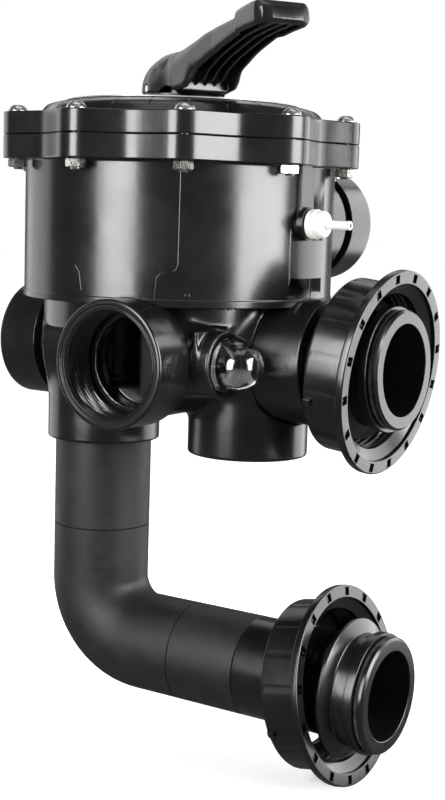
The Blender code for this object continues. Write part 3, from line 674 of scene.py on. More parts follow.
BODY_R = 96.5
BOWL_R = 89.5
BOWL_FLOOR = 42.0
FLANGE_R = 101.2
FLANGE_BOTTOM = 115.7
FLANGE_TOP = 143.2
CROWN_TOP = 152.2
LUG_REACH = 112.3
LUG_FLANK = 0.296
LUG_CORNER = 3
HOLLOW_R = 6
NECK_R = 31.2
CHANNEL_R = 26.0
PIPE_R = 31.5
PIPE_BORE_R = 27.0
HUB_R = 38.0
DRUM_R = 84.0
PORT_X = (WASTE_LOW.x + WASTE_HIGH.x) / 2
PORT_R = (WASTE_HIGH.x - WASTE_LOW.x) / 2
PUMP_Z = (PUMP_LOW.z + PUMP_HIGH.z) / 2
DROP_X = (DROP_LOW.x + DROP_HIGH.x) / 2
STUB_X = 56.0
STUB_LIP = -60.3
SIGHT_Y = (GLASS_LOW.y + GLASS_HIGH.y) / 2
GAUGE_Y = (PLUG_LOW.y + PLUG_HIGH.y) / 2
GAUGE_Z = (PLUG_LOW.z + PLUG_HIGH.z) / 2
GATE_ANGLE = -0.899
PORT_THREAD = {"minor": 29.8, "depth": 1.35, "pitch": 2.309}
NUT_THREAD = {"minor": 46.2, "depth": 1.3, "pitch": 4.0}
NUT_BARREL_R = 51.5
NUT_POCKETS = 16


def middle(node):
    low, high = span(node)
    return (low + high) / 2


BOLT_SPOTS = [middle(name) for name in BOLTS]
BOLT_ANGLES = [math.atan2(spot.y, spot.x) for spot in BOLT_SPOTS]


def lug_reach(angle):
    """How far the scalloped flange reaches: a blunt lug at each bolt, hollows rounded between."""
    pitch = 2 * math.pi / len(BOLT_ANGLES)
    offset = abs((angle - BOLT_ANGLES[0]) % pitch - pitch / 2)
    reach = FLANGE_R
    for _ in range(40):
        rise = LUG_FLANK * (math.hypot(reach * math.sin(offset), HOLLOW_R) - HOLLOW_R)
        reach = (FLANGE_R + rise) / math.cos(offset)
    return float(soft_min(reach, LUG_REACH, LUG_CORNER))


def flange_angles(extra=()):
    """Turning steps that are fine round each lug."""
    fine = (0, 1, 1.8, 2.4, 2.8, 3.2, 3.6, 4.2, 5, 6.5, 9, 11.5, 13.5, 15, 16, 17, 18)
    offsets = {math.radians(side * value) for value in fine for side in (-1, 1)}
    angles = [bolt + offset for bolt in BOLT_ANGLES for offset in offsets] + list(extra)
    return sorted({round(a % (2 * math.pi), 5) for a in angles})


def with_lugs(angle, radius, height):
    """Takes a point of the flange's rim out to the lugs."""
    if radius > FLANGE_R - 1.2:
        radius += REACH[angle] - FLANGE_R
    return radius, height


GROOVES = [math.radians(7.5 + 15 * i) for i in range(24)]
GROOVE_HALF = math.radians(0.35)
GROOVE_DEPTH = 0.5
LID_ANGLES = flange_angles([g + side * GROOVE_HALF for g in GROOVES for side in (-1, 0, 1)])
BOWL_ANGLES = flange_angles()
REACH = {angle: lug_reach(angle) for angle in {*LID_ANGLES, *BOWL_ANGLES}}


def with_grooves(angle, radius, height):
    """The lid's flange lugs and the fine radial grooves across its sloping shoulder."""
    shoulder = 76 < radius < 88 and height > FLANGE_TOP + 0.8
    if shoulder and min(abs(angle - groove) for groove in GROOVES) < GROOVE_HALF / 2:
        height -= GROOVE_DEPTH
    return with_lugs(angle, radius, height)


def bolt_holes(low, high):
    return loose(*(aimed(rod(3.4, low, high, 24), at=(spot.x, spot.y, 0)) for spot in BOLT_SPOTS))


def bead(points, radius=0.18):
    """A fine raised line on the bowl's wall through (degrees, height) points."""
    path = []
    for (a0, z0), (a1, z1) in zip(points, points[1:]):
        steps = max(1, int(abs(a1 - a0) / 1.5) + int(abs(z1 - z0) / 12))
        path += [(a0 + (a1 - a0) * i / steps, z0 + (z1 - z0) * i / steps) for i in range(steps)]
    path.append(points[-1])
    places = []
    for degrees, height in path:
        angle = math.radians(degrees)
        places.append(Vector((BODY_R * math.cos(angle), BODY_R * math.sin(angle), height)))
    return swept_wire("bead", places, radius, 8)


def wall_patch(start, end, low, high, thick):
    """A plate that lies round the bowl's wall between two angles in degrees."""
    angles = [math.radians(start + (end - start) * i / 12) for i in range(13)]
    outer = [((BODY_R + thick) * math.cos(a), (BODY_R + thick) * math.sin(a)) for a in angles]
    inner = [((BODY_R - 2) * math.cos(a), (BODY_R - 2) * math.sin(a)) for a in reversed(angles)]
    return slab(outer + inner, low, high, 0.25)


def sector(inner, outer, centre, half, arc=10):
    """The outline of part of a ring, half an angle to each side of centre."""
    angles = [centre - half + 2 * half * i / arc for i in range(arc + 1)]
    points = [(outer * math.cos(a), outer * math.sin(a)) for a in angles]
    return points + [(inner * math.cos(a), inner * math.sin(a)) for a in reversed(angles)]


def wedge_windows(low, high):
    half = math.radians(25.5)
    return [slab(sector(22, 78, math.radians(60 * i - 90), half), low, high) for i in range(6)]


def valve_bowl():
    low, top = BOWL_LOW.z, BOWL_HIGH.z
    corners = [
        (0, BOWL_FLOOR), (BOWL_R, BOWL_FLOOR, 3), (BOWL_R, top, 0.4), (FLANGE_R, top, 0.7),
        (FLANGE_R, FLANGE_BOTTOM, 0.9), (BODY_R, FLANGE_BOTTOM, 1.6), (BODY_R, low + 4.6, 0.6),
        (BODY_R + 0.5, low + 4.0, 0.4), (BODY_R + 0.5, low, 0.5), (0, low),
    ]
    profile = filleted(corners, 4, closed=False)
    bowl = lathe("bowl", profile, BOWL_ANGLES, with_lugs, ring=False)
    neck = aimed(rod(NECK_R, 60, PUMP_LOW.y + 8.6, 72, 0.8), "+Y", (PORT_X, 0, PUMP_Z))
    collar = aimed(rod(NECK_R + 4, 60, PUMP_LOW.y - 4, 72, 1.5), "+Y", (PORT_X, 0, PUMP_Z))
    boss = aimed(rod(11, 80, 99.4, 48, 0.8, 0.02), "+X", (0, GAUGE_Y, GAUGE_Z))
    pad = block((85, GAUGE_Y - 6, GAUGE_Z), (98.2, GAUGE_Y + 5.5, FLANGE_BOTTOM + 2), 0.6)
    panel = [(-54.8, 114), (-54.9, 57.5), (-55.5, 54.4), (-57, 52.9), (-60.6, 51.9)]
    panel += [(-62, 50), (-62.7, 37.6)]
    corner = [(-93.1, 54.5), (-91.2, 50.6), (-90.2, 40.3)]
    gate = Vector((math.cos(GATE_ANGLE), math.sin(GATE_ANGLE), 0))
    details = [
        bead(panel),
        bead(corner),
        aimed(tube(9.9, 8.95, 97, 101, 64, 0.2), "+X", (0, GAUGE_Y, GAUGE_Z)),
        wall_patch(-12, 8.4, 49.6, 72.2, 0.5),
        aimed(rod(1.6, 95, 97.3, 24, 0.6), gate, (0, 0, 39.7)),
    ]
    bowl = join(bowl, neck, collar, boss, pad, *details)
    pump_bore = aimed(rod(CHANNEL_R, 70, 140, 72), "+Y", (PORT_X, 0, PUMP_Z))
    gauge_hole = aimed(rod(6.3, 70, 120, 32), "+X", (0, GAUGE_Y, GAUGE_Z))
    rooms = [
        aimed(rod(PORT_R + 0.3, -WASTE_HIGH.y - 0.3, 130, 96), "-Y", (PORT_X, 0, 0)),
        aimed(rod(PORT_R + 0.3, -RETURN_HIGH.x - 0.3, 130, 96), "-X"),
        aimed(rod(HUB_R + 0.3, FILTER_LOW.x - 0.3, 130, 96), "+X"),
    ]
    holes = bolt_holes(FLANGE_BOTTOM - 3, top + 3)
    pivot = rod(8.4, 20, 60, 48)
    bowl = cut(bowl, pump_bore, gauge_hole, *rooms, holes, pivot, *wedge_windows(20, 50))
    piece("valve_bowl_moulding", bowl, ["valve_bowl"])


def lid():
    low = BOWL_HIGH.z + 0.3
    spigot = LID_LOW.z
    ceiling = 146.0
    corners = [
        (16.3, LID_HIGH.z, 0.4), (26.6, LID_HIGH.z, 0.5), (27.4, LID_HIGH.z - 0.8, 0.3),
        (30, LID_HIGH.z - 0.8, 1.2), (30, CROWN_TOP, 1.0), (73, CROWN_TOP, 30), (84.5, 149.4, 8),
        (88.8, FLANGE_TOP, 0.8), (FLANGE_R, FLANGE_TOP, 0.9), (FLANGE_R, low, 0.7),
        (BOWL_R - 0.4, low, 0.3), (BOWL_R - 0.4, spigot, 1.2), (BOWL_R - 6, spigot, 1.2),
        (BOWL_R - 6, ceiling, 3), (23, ceiling, 2), (23, spigot, 0.6), (16.3, spigot, 0.5),
    ]
    profile = filleted(corners, 4)
    top = lathe("lid", profile, LID_ANGLES, with_grooves)
    piece("lid_moulding", cut(top, bolt_holes(low - 3, FLANGE_TOP + 3)), ["lid"])


def manifold_field(x, y, z):
    """The lower body: hub, drum and sockets blended together, less the ways through them."""
    across_x = np.hypot(y, z)
    across_drop = np.hypot(x - DROP_X, y)
    across_stub = np.hypot(x - STUB_X, y)
    across_waste = np.hypot(x - PORT_X, z)
    across_sight = np.hypot(y - SIGHT_Y, z)
    hub = bar(across_x - HUB_R, x, -80, 80, 2)
    drum = bar(np.hypot(x, y) - DRUM_R, z, 14, 60, 3)
    drop = bar(across_drop - 36.7, z, MANIFOLD_LOW.z, 0, 1.6)
    stub = bar(across_stub - 37.1, z, STUB_LIP, 0, 1.6)
    waste = bar(across_waste - 34, -y, 20, -WASTE_HIGH.y - 0.3, 1)
    sight = bar(across_sight - 20.2, x, 40, 78.3, 1.4)
    gusset = brick(x, y, z, (66.5, -78, -2), (69.5, -30, 20), 1)
    body = soft_min(soft_min(hub, drum, 9), soft_min(drop, stub, 1), 7)
    body = soft_min(soft_min(body, waste, 7), sight, 5)
    body = soft_min(body, gusset, 3)
    for across, out, radius, back in (
        (across_waste, -y, PORT_R, -WASTE_HIGH.y),
        (across_x, -x, PORT_R, -RETURN_HIGH.x),
        (across_x, x, HUB_R, FILTER_LOW.x),
    ):
        body = soft_max(body, -bar(across - radius - 0.6, out, back - 0.3, BEYOND, 0.4), 0.6)
    body = soft_max(body, z - (BOWL_LOW.z - 0.3), 0.6)
    for across, out, end in ((across_waste, -y, 86), (across_x, -x, 98), (across_x, x, 92)):
        body = soft_min(body, bar(across - NECK_R, out, 40, end, 1), 0.6)
    ways = bar(across_waste - CHANNEL_R, -y, 74, BEYOND, 1)
    for across, out, radius, start, edge in (
        (across_x, -x, CHANNEL_R, 80, 1),
        (across_x, x, CHANNEL_R, 78, 1),
        (across_drop, -z, CHANNEL_R, 28, 1),
        (across_drop, -z, PIPE_R + 0.4, 40, 0.6),
        (across_stub, -z, NECK_R + 0.4, 42, 3),
        (across_sight, x, 11, 50, 0.6),
        (across_sight, x, 16.8, 70, 0.6),
    ):
        ways = soft_min(ways, bar(across - radius, out, start, BEYOND, edge), 0.5)
    for low, high in (
        ((5, -78, -16), (25, -42, 40)),
        ((-82, 3, -16), (-44, 22, 40)),
        ((-72, -22, -34), (-44, -3, 40)),
        ((44, -22, -16), (82, -3, 40)),
    ):
        ways = soft_min(ways, brick(x, y, z, low, high, 3), 3)
    return soft_max(body, -ways, 0.8)


def port_manifold():
    mesh = field_mesh("manifold", manifold_field, MANIFOLD_LOW, MANIFOLD_HIGH, 1.3)
    piece("port_manifold_moulding", mesh, MANIFOLD_NODES, keep_normals=True)


def threaded(low, high, minor, depth, pitch):
    """Moves the points of a bore at the minor radius out and in again along a helix."""

    def shape(angle, radius, height):
        if abs(radius - minor) < 0.01 and low < height < high:
            turn = (height / pitch - angle / (2 * math.pi)) % 1
            wave = min(max(1.6 * abs(2 * turn - 1) - 0.3, 0), 1)
            ends = min((height - low) / pitch, (high - height) / pitch, 1)
            radius += depth * wave * ends
        return radius, height

    return shape


def fine_run(radius, start, end, step):
    """Profile points close enough together to carry a thread."""
    count = max(2, int(abs(end - start) / step))
    return [(radius, start + (end - start) * i / count) for i in range(count + 1)]


def waste_socket():
    """The threaded socket at the front, with a raised ring round its mouth."""
    face = -WASTE_LOW.y
    back = -WASTE_HIGH.y
    step = back + 5.6
    minor = PORT_THREAD["minor"]
    corners = [
        (NECK_R + 0.4, back), (PORT_R, back, 0.5), (PORT_R, face, 1.6), (34.4, face, 0.4),
        (34.0, face - 0.9, 0.3), (32.6, face - 0.9, 0.4), (32.2, face - 0.2, 0.3),
        (31.6, face - 0.2, 0.3), (minor, face - 2.2),
    ]
    front = filleted(corners, 3, closed=False)
    bore = fine_run(minor, face - 2.2, step + 1.5, 0.3)[1:]
    profile = front + bore + [(NECK_R + 0.4, step)]
    thread = threaded(step + 1.6, face - 2.4, **PORT_THREAD)
    mesh = lathe("waste", profile, 144, thread)
    piece("waste_socket_moulding", aimed(mesh, "-Y", (PORT_X, 0, 0)), ["waste_socket"])


def plain_socket(node, along, at, face, back, radius, bore, mouth):
    """A pipe socket whose end is rounded by mouth, with a chamfered bore."""
    corners = [
        (bore, back), (radius, back, 0.5), (radius, face, mouth), (bore + 0.9, face, 0.4),
        (bore, face - 2.4, 0.6),
    ]
    profile = filleted(corners, 5)
    piece(node + "_moulding", aimed(lathe(node, profile), along, at), [node])


def union_tail(node, level):
    """The pipe end inside a union nut: seal face, seal groove, collar and spigot."""
    low, high = span(node)
    length = high.x - low.x
    corners = [
        (PIPE_BORE_R, 0, 0.6), (33.6, 0, 0.5), (35, -1.4, 0.4), (35, -3.5, 0.3), (32, -3.5, 0.3),
        (32, -6.5, 0.3), (36.8, -6.5, 0.5), (36.8, -12, 0.6), (34, -12.6, 0.5), (34, -21, 1.5),
        (42.5, -24.5, 0.9), (42.5, -26.5, 0.5), (PIPE_R, -26.5, 1.0), (PIPE_R, -length, 0.6),
        (PIPE_BORE_R, -length, 0.6),
    ]
    profile = filleted(corners, 4)
    piece(node + "_moulding", aimed(lathe(node, profile), "+X", (high.x, 0, level)), [node])


def nut_ribs(angle, radius, height):
    """Shallow axial flutes down the nut's barrel."""
    if 51 < radius < 53 and -28 < height < -6.5:
        radius -= 0.5 * max(0.0, 1 - abs(((angle * NUT_POCKETS / math.pi) % 2) - 1) * 9)
    return radius, height


def union_nut(node, joint):
    """A flanged union nut: pocketed rim, fluted barrel, conical mouth and an inside thread."""
    thread = threaded(-25.5, -6.5, **NUT_THREAD)
    minor = NUT_THREAD["minor"]

    def shape(angle, radius, height):
        return thread(angle, *nut_ribs(angle, radius, height))

    rim = [(minor, -6), (52.5, -2.5, 0.8), (52.5, 0, 0.4), (60.2, 0, 0.9), (60.2, -5, 1.1)]
    rim += [(NUT_BARREL_R, -5, 1.4), (NUT_BARREL_R, -6.4)]
    barrel = [(NUT_BARREL_R, -6.6 - 21.2 * i / 6) for i in range(7)]
    mouth = [(NUT_BARREL_R, -28.2), (NUT_BARREL_R, -30, 1.6), (36.2, -30, 0.9), (36.2, -26, 0.6)]
    mouth.append((minor, -26))
    bore = fine_run(minor, -25.4, -6.1, 0.5)
    profile = filleted(rim, 3, closed=False) + barrel + filleted(mouth, 3, closed=False) + bore
    nut = lathe(node, profile, 192, shape)
    pockets, notches = [], []
    for number in range(NUT_POCKETS):
        turn = 2 * math.pi * (number + 0.5) / NUT_POCKETS
        for y in (-2.6, 0.35):
            pockets.append(aimed(block((53.6, y, -3.5), (58.8, y + 2.25, 3), 0.2), turn=turn))
        notches.append(aimed(block((53.8, -2.4, -1.2), (58.6, 2.4, 3), 0.2), turn=turn))
    tab = block((51, -2.2, -29.2), (53.4, 2.2, -24.5), 0.5)
    tab.transform(Matrix.Rotation(math.radians(200), 4, "Z"))
    nut = cut(join(nut, tab), loose(*pockets), loose(*notches))
    data = JOINTS[joint]
    at = (Vector(data["pos_m"]) - VALVE) / MM
    piece(node + "_moulding", aimed(nut, data["axis"]), [node], at)


def pipework():
    """The pipe down from the valve, the elbow and the pipe across to the lower union."""
    drop = tube(PIPE_R, PIPE_BORE_R, DROP_LOW.z, DROP_HIGH.z, 96, 0.5)
    piece("drop_pipe_extrusion", aimed(drop, at=(DROP_X, 0, 0)), ["drop_pipe"])
    low, high = span("cross_pipe")
    level = (low.z + high.z) / 2
    cross = tube(PIPE_R, PIPE_BORE_R, low.x, high.x, 96, 0.5)
    piece("cross_pipe_extrusion", aimed(cross, "+X", (0, 0, level)), ["cross_pipe"])
    low, high = span("elbow")
    bend = 40.0
    corner = Vector((DROP_X + bend, 0, level + bend))
    path = [Vector((DROP_X, 0, high.z)), Vector((DROP_X, 0, high.z - 0.6))]
    for i in range(25):
        angle = math.pi / 2 * i / 24
        path.append(corner - bend * Vector((math.cos(angle), 0, math.sin(angle))))
    path += [Vector((high.x - 0.6, 0, level)), Vector((high.x, 0, level))]
    piece("elbow_moulding", swept_tube("elbow", path, PIPE_R, PIPE_BORE_R, 96), ["elbow"])


def bolt_mesh():
    """A pan head screw with a cross slot and a cut thread at its tip."""
    low, high = span(BOLTS[0])
    head = FLANGE_TOP + 0.3
    tip = low.z
    top = [(0, high.z), (3.0, high.z, 1), (5.0, head + 2.2, 2), (6, head + 0.3, 0.4)]
    top += [(6, head, 0.2), (3, head, 0.3)]
    profile = filleted(top, 4, closed=False) + [(3, tip + 12)]
    profile += fine_run(3, tip + 11.8, tip + 0.9, 0.2) + [(2.4, tip), (0, tip)]

    def shape(angle, radius, height):
        if abs(radius - 3) < 0.01 and tip + 0.8 < height < tip + 11.9:
            radius -= 0.35 * abs(2 * ((height - angle / (2 * math.pi)) % 1) - 1)
        return radius, height

    bolt = lathe("bolt", profile, 48, shape, ring=False)
    slots = ((2.6, 0.55), (0.55, 2.6))
    return cut(bolt, *(block((-x, -y, head + 1.4), (x, y, head + 9), 0.15) for x, y in slots))


def nut_mesh():
    low, high = span(NUTS[0])
    low, high = low.z, high.z
    corner = 5 / math.cos(math.pi / 6)
    hexagon = [(corner * math.cos(a), corner * math.sin(a)) for a in even_angles(6)]
    chamfer = [(0, high), (4.7, high), (6.6, high - 1.1), (6.6, low + 1.1), (4.7, low), (0, low)]
    hole = [(0, high + 1), (4, high + 1), (3.1, high - 0.5)]
    hole += [(3.1, low + 0.5), (4, low - 1), (0, low - 1)]
    dressed = lathe("dressed", chamfer, 96, ring=False)
    rounded = combined(slab(hexagon, low, high), [dressed], "INTERSECT")
    return cut(rounded, lathe("hole", hole, 48, ring=False))


def lid_fasteners():
    for mesh, names, word in ((bolt_mesh(), BOLTS, "screw"), (nut_mesh(), NUTS, "hexagon")):
        for number, name in enumerate(names):
            copy = mesh.copy()
            copy.transform(Matrix.Rotation(BOLT_ANGLES[number] + 0.7 * number, 4, "Z"))
            spot = BOLT_SPOTS[number]
            piece(f"{name}_{word}", copy, [name], (spot.x, spot.y, 0))


HANDLE_SIDE = [
    (0, 158.6), (0, 181), (10, 182.8),
    (30, 184.4), (50, 188), (73, 192.8), (98.5, 196.4), (101, 199), (104, 199.8), (112, 201.2),
    (120, 202.3), (126, 202.5), (130.5, 199.5), (134.8, 191.8), (131, 189.8), (113, 188),
    (97, 185.7),
    (78, 180.5), (62, 175), (50, 169.5), (43, 163), (39, 160.2), (25.5, 158.6),
]
HANDLE_HALF_WIDTH = [
    (0, 16), (12, 19), (24, 19.8), (36, 18.6), (52, 16.9),
    (70, 15.3), (97.5, 14.7), (101.5, 16.7), (125, 16.7), (131, 14.6), (134, 10), (135, 4),
]
HOLLOW_SIDE = [
    (31, 140), (31, 179), (50, 183.5), (73, 188.3), (99, 192), (122, 197.4), (130, 197.4),
    (130, 140),
]
HOLLOW_HALF_WIDTH = [
    (31, 15.8), (52, 13.4), (70, 11.8), (98, 11.2), (102, 13.2), (126, 13.2), (130, 10),
]
RIB_EDGE = (
    (31, 43, 50, 62, 67, 83, 97, 113, 131),
    (163, 165, 170.5, 175.8, 177.5, 182.1, 185.5, 187.6, 189.8),
)


def both_sides(half):
    """A closed outline from the half widths along it."""
    return [(x, -y) for x, y in half] + [(x, y) for x, y in reversed(half)]


def handle_field(x, y, z):
    """The handle: an arm blended into a domed hub, ribbed and hollow below, bored for its pin."""
    along = x * math.cos(HANDLE_TURN) + y * math.sin(HANDLE_TURN)
    across = -x * math.sin(HANDLE_TURN) + y * math.cos(HANDLE_TURN)
    side = outline_distance(along, z, HANDLE_SIDE)
    plan = outline_distance(along, across, both_sides(HANDLE_HALF_WIDTH))
    rounding = 4 + 12 * np.clip((60 - along) / 45, 0, 1) * np.clip((z - 165) / 8, 0, 1)
    arm = soft_max(side, plan, rounding)
    turning = np.hypot(x, y)
    dome = 22 * (np.hypot(turning / 25.5, np.maximum(z - 161, 0) / 23) - 1)
    body = soft_min(arm, soft_max(dome, 158.6 - z, 1), 7)
    bore = soft_max(bar(turning - 22.5, z, 140, 173, 2), dome + 2.8, 2)
    hollow = soft_max(
        outline_distance(along, z, HOLLOW_SIDE),
        outline_distance(along, across, both_sides(HOLLOW_HALF_WIDTH)),
        2,
    )
    ribs = np.abs(np.abs(np.abs(across) - 3.1) - 3.1) - 0.75
    hollow = soft_max(hollow, -soft_max(ribs, np.interp(along, *RIB_EDGE) - z, 0.6), 0.8)
    openings = np.hypot(along, z - PIN_Z) - 2.8
    for way in (HANDLE_TURN + math.pi / 4, HANDLE_TURN - math.pi / 4):
        aside = -x * math.sin(way) + y * math.cos(way)
        openings = np.minimum(openings, np.hypot(aside, z - 154.5) - 7.4)
    return soft_max(soft_max(soft_max(body, -bore, 0.8), -hollow, 1), -openings, 0.5)


def handle():
    """The handle, its pin and the washer under its hub, which the photo shows dark."""
    low, high = span("selector_handle")
    mesh = field_mesh("handle", handle_field, low, high, 0.8)
    piece("selector_handle_moulding", mesh, ["selector_handle"], keep_normals=True)
    pin = filleted([(0, 25), (2.5, 25, 0.5), (2.5, -25, 0.5), (0, -25)], 3, closed=False)
    pin_mesh = aimed(lathe("pin", pin, 40, ring=False), PIN_AXIS)
    piece("handle_pin_bar", pin_mesh, ["handle_pin"], (0, 0, PIN_Z))
    low, high = span("thrust_washer")
    washer = piece("thrust_washer_ring", tube(25, 17, low.z, high.z, 96, 0.4), ["thrust_washer"])
    # The washer gets a dark grey nylon look in place of the record's white nylon.
    washer.data.materials[0] = nylon("dark_nylon_look", DARK_NYLON_TONE)


def spring():
    """The diverter's spring, standing on the diverter, built at its CAD length with a mesh of its
    own.
    """
    low, high = span("diverter_spring")
    wire, radius, turns = 2.0, 27.0, 6.5
    count = int(28 * turns)
    places = []
    for i in range(count + 1):
        share = i / count
        angle = 2 * math.pi * turns * share
        rise = low.z + wire + (high.z - low.z - 2 * wire) * share
        places.append(Vector((radius * math.cos(angle), radius * math.sin(angle), rise)))
    obj = piece("diverter_spring_coil", swept_wire("spring", places, wire, 14), ["diverter_spring"])
    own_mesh(obj)


def sight_glass():
    back, front = GLASS_LOW.x, GLASS_HIGH.x
    dome, wall = 14.2, 2.0
    hollow = dome - wall
    centre = front - dome
    quarter = [math.pi / 2 * i / 16 for i in range(17)]
    outer = [(dome * math.sin(a), centre + dome * math.cos(a)) for a in quarter]
    inner = [(hollow * math.sin(a), centre + hollow * math.cos(a)) for a in reversed(quarter)]
    foot = [(dome, centre - 0.2), (dome, 79.2, 0.5), (16.4, 78.8, 0.5), (16.4, back, 0.3)]
    foot += [(hollow, back, 0.3), (hollow, centre - 0.2)]
    profile = outer + filleted(foot, 3, closed=False) + inner
    mesh = lathe("glass", profile, 96, ring=False)
    piece("sight_glass_dome", aimed(mesh, "+X", (0, SIGHT_Y, 0)), ["sight_glass"])


def gauge_plug():
    tip = PLUG_HIGH.x
    head = 101.8
    corners = [
        (1.4, tip), (2.6, tip, 0.4), (2.6, tip - 15.8, 0.5), (8.0, tip - 15.8, 2.6),
        (8.0, tip - 21.4, 0.3), (8.7, tip - 21.7, 0.5), (8.7, head, 0.4), (6.0, head, 0.3),
        (6.0, PLUG_LOW.x, 0.5), (1.4, PLUG_LOW.x),
    ]
    profile = filleted(corners, 4)
    plug = lathe("plug", profile, 72)
    piece("gauge_plug_barb", aimed(plug, "+X", (0, GAUGE_Y, GAUGE_Z)), ["gauge_plug"])


def position_plate():
    """The round plate with six plain numbers and the lines between their sectors."""
    low, high = span("position_plate")
    plate = tube(72, 32, low.z, high.z - 0.25, 144, 0.2)
    lines = [
        aimed(block((36, -0.5, low.z + 0.2), (69, 0.5, high.z), 0.1), turn=math.radians(60 * i))
        for i in range(6)
    ]
    rim = tube(71.4, 70.2, low.z + 0.2, high.z, 144, 0.1)
    piece("position_plate_disc", join(plate, *lines, rim), ["position_plate"])
    ink = plate_ink()
    for number in range(6):
        curve = bpy.data.curves.new("number", "FONT")
        curve.body = str(number + 1)
        curve.size = 13
        curve.extrude = 0.12
        curve.align_x = "CENTER"
        curve.align_y = "CENTER"
        holder = placed("number", curve)
        mesh = evaluated_mesh(holder)
        bpy.data.objects.remove(holder, do_unlink=True)
        upright = Matrix.Rotation(math.pi / 2, 4, "Z")
        out = Matrix.Translation((53, 0, high.z - 0.13))
        turned = Matrix.Rotation(math.radians(-30 + 60 * number), 4, "Z")
        mesh.transform(turned @ out @ upright)
        mesh.transform(Matrix.Scale(MM, 4))
        mesh.materials.clear()
        mesh.materials.append(ink)
        digit = placed(f"position_number_{number + 1}", mesh)
        digit.location = VALVE
        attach(digit, BODY_OF["position_plate"])


def kept_nodes():
    """CAD nodes whose own shape is right get their finished material."""
    for name, node in frame["nodes"].items():
        if node.hide_render:
            continue
        node.data.materials.clear()
        node.data.materials.append(LOOKS[SLOT_OF[name]])


def build_pieces():
    valve_bowl()
    lid()
    port_manifold()
    waste_socket()
    bore = NECK_R + 0.4
    pump_at = (PORT_X, 0, PUMP_Z)
    plain_socket("return_socket", "-X", (0, 0, 0), -RETURN_LOW.x, -RETURN_HIGH.x, PORT_R, bore, 4)
    plain_socket("pump_socket", "+Y", pump_at, PUMP_HIGH.y, PUMP_LOW.y, PORT_R, bore, 2)
    bore = PIPE_R + 0.4
    plain_socket("filter_top_socket", "+X", (0, 0, 0), FILTER_HIGH.x, FILTER_LOW.x, HUB_R, bore, 1.6)
    union_tail("union_tail_upper", 0)
    union_tail("union_tail_lower", middle("union_tail_lower").z)
    union_nut("union_nut_upper", "upper_nut_spin")
    union_nut("union_nut_lower", "lower_nut_spin")
    pipework()
    lid_fasteners()
    handle()
    spring()
    sight_glass()
    gauge_plug()
    position_plate()
    kept_nodes()


# ---- studio

CAMERA_AT = Vector((0.377057, -0.761837, 0.091965))
CAMERA_TURN = math.radians(33.41)
CAMERA_DIP = math.radians(7.58)
CAMERA_ROLL = math.radians(1.77)
CAMERA_LENS = 66.14
LIT_LEVEL = -0.02
FLOOR_GAP = 0.0005


def view_axes():
    """The camera's right, up and backward directions."""
    level_right = Vector((math.cos(CAMERA_TURN), math.sin(CAMERA_TURN), 0))
    ahead = Vector((-math.sin(CAMERA_TURN), math.cos(CAMERA_TURN), 0)) * math.cos(CAMERA_DIP)
    ahead.z = -math.sin(CAMERA_DIP)
    level_up = level_right.cross(ahead)
    right = level_right * math.cos(CAMERA_ROLL) + level_up * math.sin(CAMERA_ROLL)
    return right, right.cross(ahead), -ahead


def camera():
    right, up, back = view_axes()
    data = bpy.data.cameras.new("photo_camera")
    data.lens = CAMERA_LENS
    data.sensor_width = 36
    obj = placed("photo_camera", data)
    turn = Matrix((right, up, back)).transposed().to_4x4()
    obj.matrix_world = Matrix.Translation(CAMERA_AT) @ turn
    bpy.context.scene.camera = obj


def softbox(name, turn, height, distance, size, power):
    """An area light at an angle to the right of the camera, aimed at the valve's axis."""
    back = Vector((math.sin(CAMERA_TURN), -math.cos(CAMERA_TURN), 0))
    right = Vector((math.cos(CAMERA_TURN), math.sin(CAMERA_TURN), 0))
    way = back * math.cos(math.radians(turn)) + right * math.sin(math.radians(turn))
    target = VALVE + Vector((0, 0, LIT_LEVEL))
    at = target + way * distance + Vector((0, 0, height))
    light = bpy.data.lights.new(name, "AREA")
    light.shape = "RECTANGLE"
    light.size, light.size_y = size
    light.energy = power
    obj = placed(name, light)
    obj.location = at
    obj.rotation_euler = (target - at).to_track_quat("-Z", "Y").to_euler()


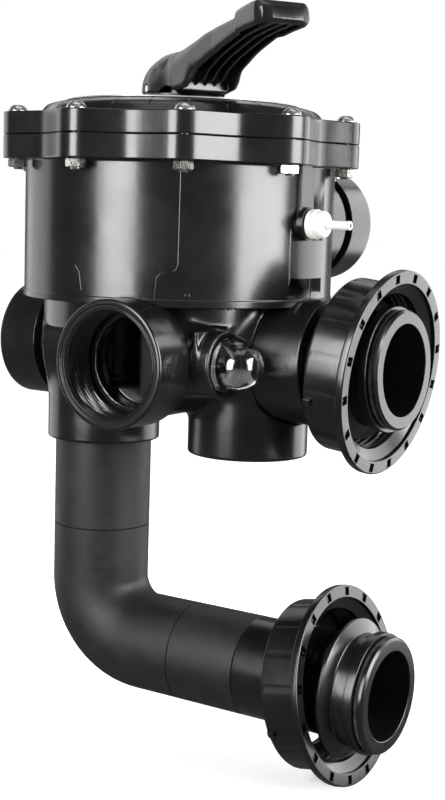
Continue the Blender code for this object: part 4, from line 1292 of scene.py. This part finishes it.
def floor():
    """A white floor just under the valve, bright enough at a distance to meet the background."""
    solid = bmesh.new()
    bmesh.ops.create_grid(solid, x_segments=1, y_segments=1, size=6)
    mesh = frozen("floor", solid)
    obj = placed("floor", mesh)
    obj.location = (0, 0, CAD_BOX[0].z - FLOOR_GAP)
    obj.visible_glossy = False
    recipe = Recipe("floor_look", (0.86, 0.86, 0.86), 0.6)
    length = recipe.node("ShaderNodeVectorMath", {0: recipe.place}, operation="LENGTH")
    distance = length.outputs["Value"]
    far = recipe.spread(distance, 0.0, 1.0, 0.2, 0.8)
    recipe.feed(
        Base_Color=recipe.blend(far, (0.86, 0.86, 0.86, 1), (0.4, 0.4, 0.4, 1)),
        Roughness=recipe.spread(recipe.noise(0.2, 3), 0.5, 0.7),
        Emission_Color=(1, 1, 1, 1),
        Emission_Strength=recipe.spread(distance, 0.3, 1.0, 0.12, 0.6),
    )
    mesh.materials.append(recipe.material)


def world():
    """White for the camera. For light and reflections, dim all round and darker overhead."""
    made = bpy.data.worlds.new("studio")
    nodes = Nodes(made)
    place = nodes.node("ShaderNodeTexCoord").outputs["Generated"]
    height = nodes.node("ShaderNodeSeparateXYZ", {0: place}).outputs["Z"]
    dim = nodes.spread(height, 0.14, 0.08, 0.0, 0.6)
    seen = nodes.node("ShaderNodeLightPath").outputs["Is Camera Ray"]
    background = nodes.tree.nodes["Background"]
    nodes.connect(background.inputs["Strength"], nodes.calc("MAXIMUM", dim, seen))
    nodes.connect(background.inputs["Color"], (1, 1, 1, 1))
    bpy.context.scene.world = made


def studio():
    world()
    floor()
    softbox("left_softbox", -42, 0.36, 1.26, (0.62, 1.05), 31)
    softbox("right_softbox", 62, 0.36, 1.26, (0.95, 1.05), 47)
    softbox("right_fill", 118, 0.15, 1.3, (1.0, 1.3), 14)
    softbox("left_fill", -125, 0.15, 1.3, (1.0, 1.3), 6)
    softbox("back_fill", 180, 0.85, 1.2, (1.8, 0.5), 3)
    softbox("top_fill", 0, 1.3, 0.05, (1.0, 1.0), 4)
    bpy.context.scene.view_settings.view_transform = "Standard"


camera()
build_pieces()
studio()
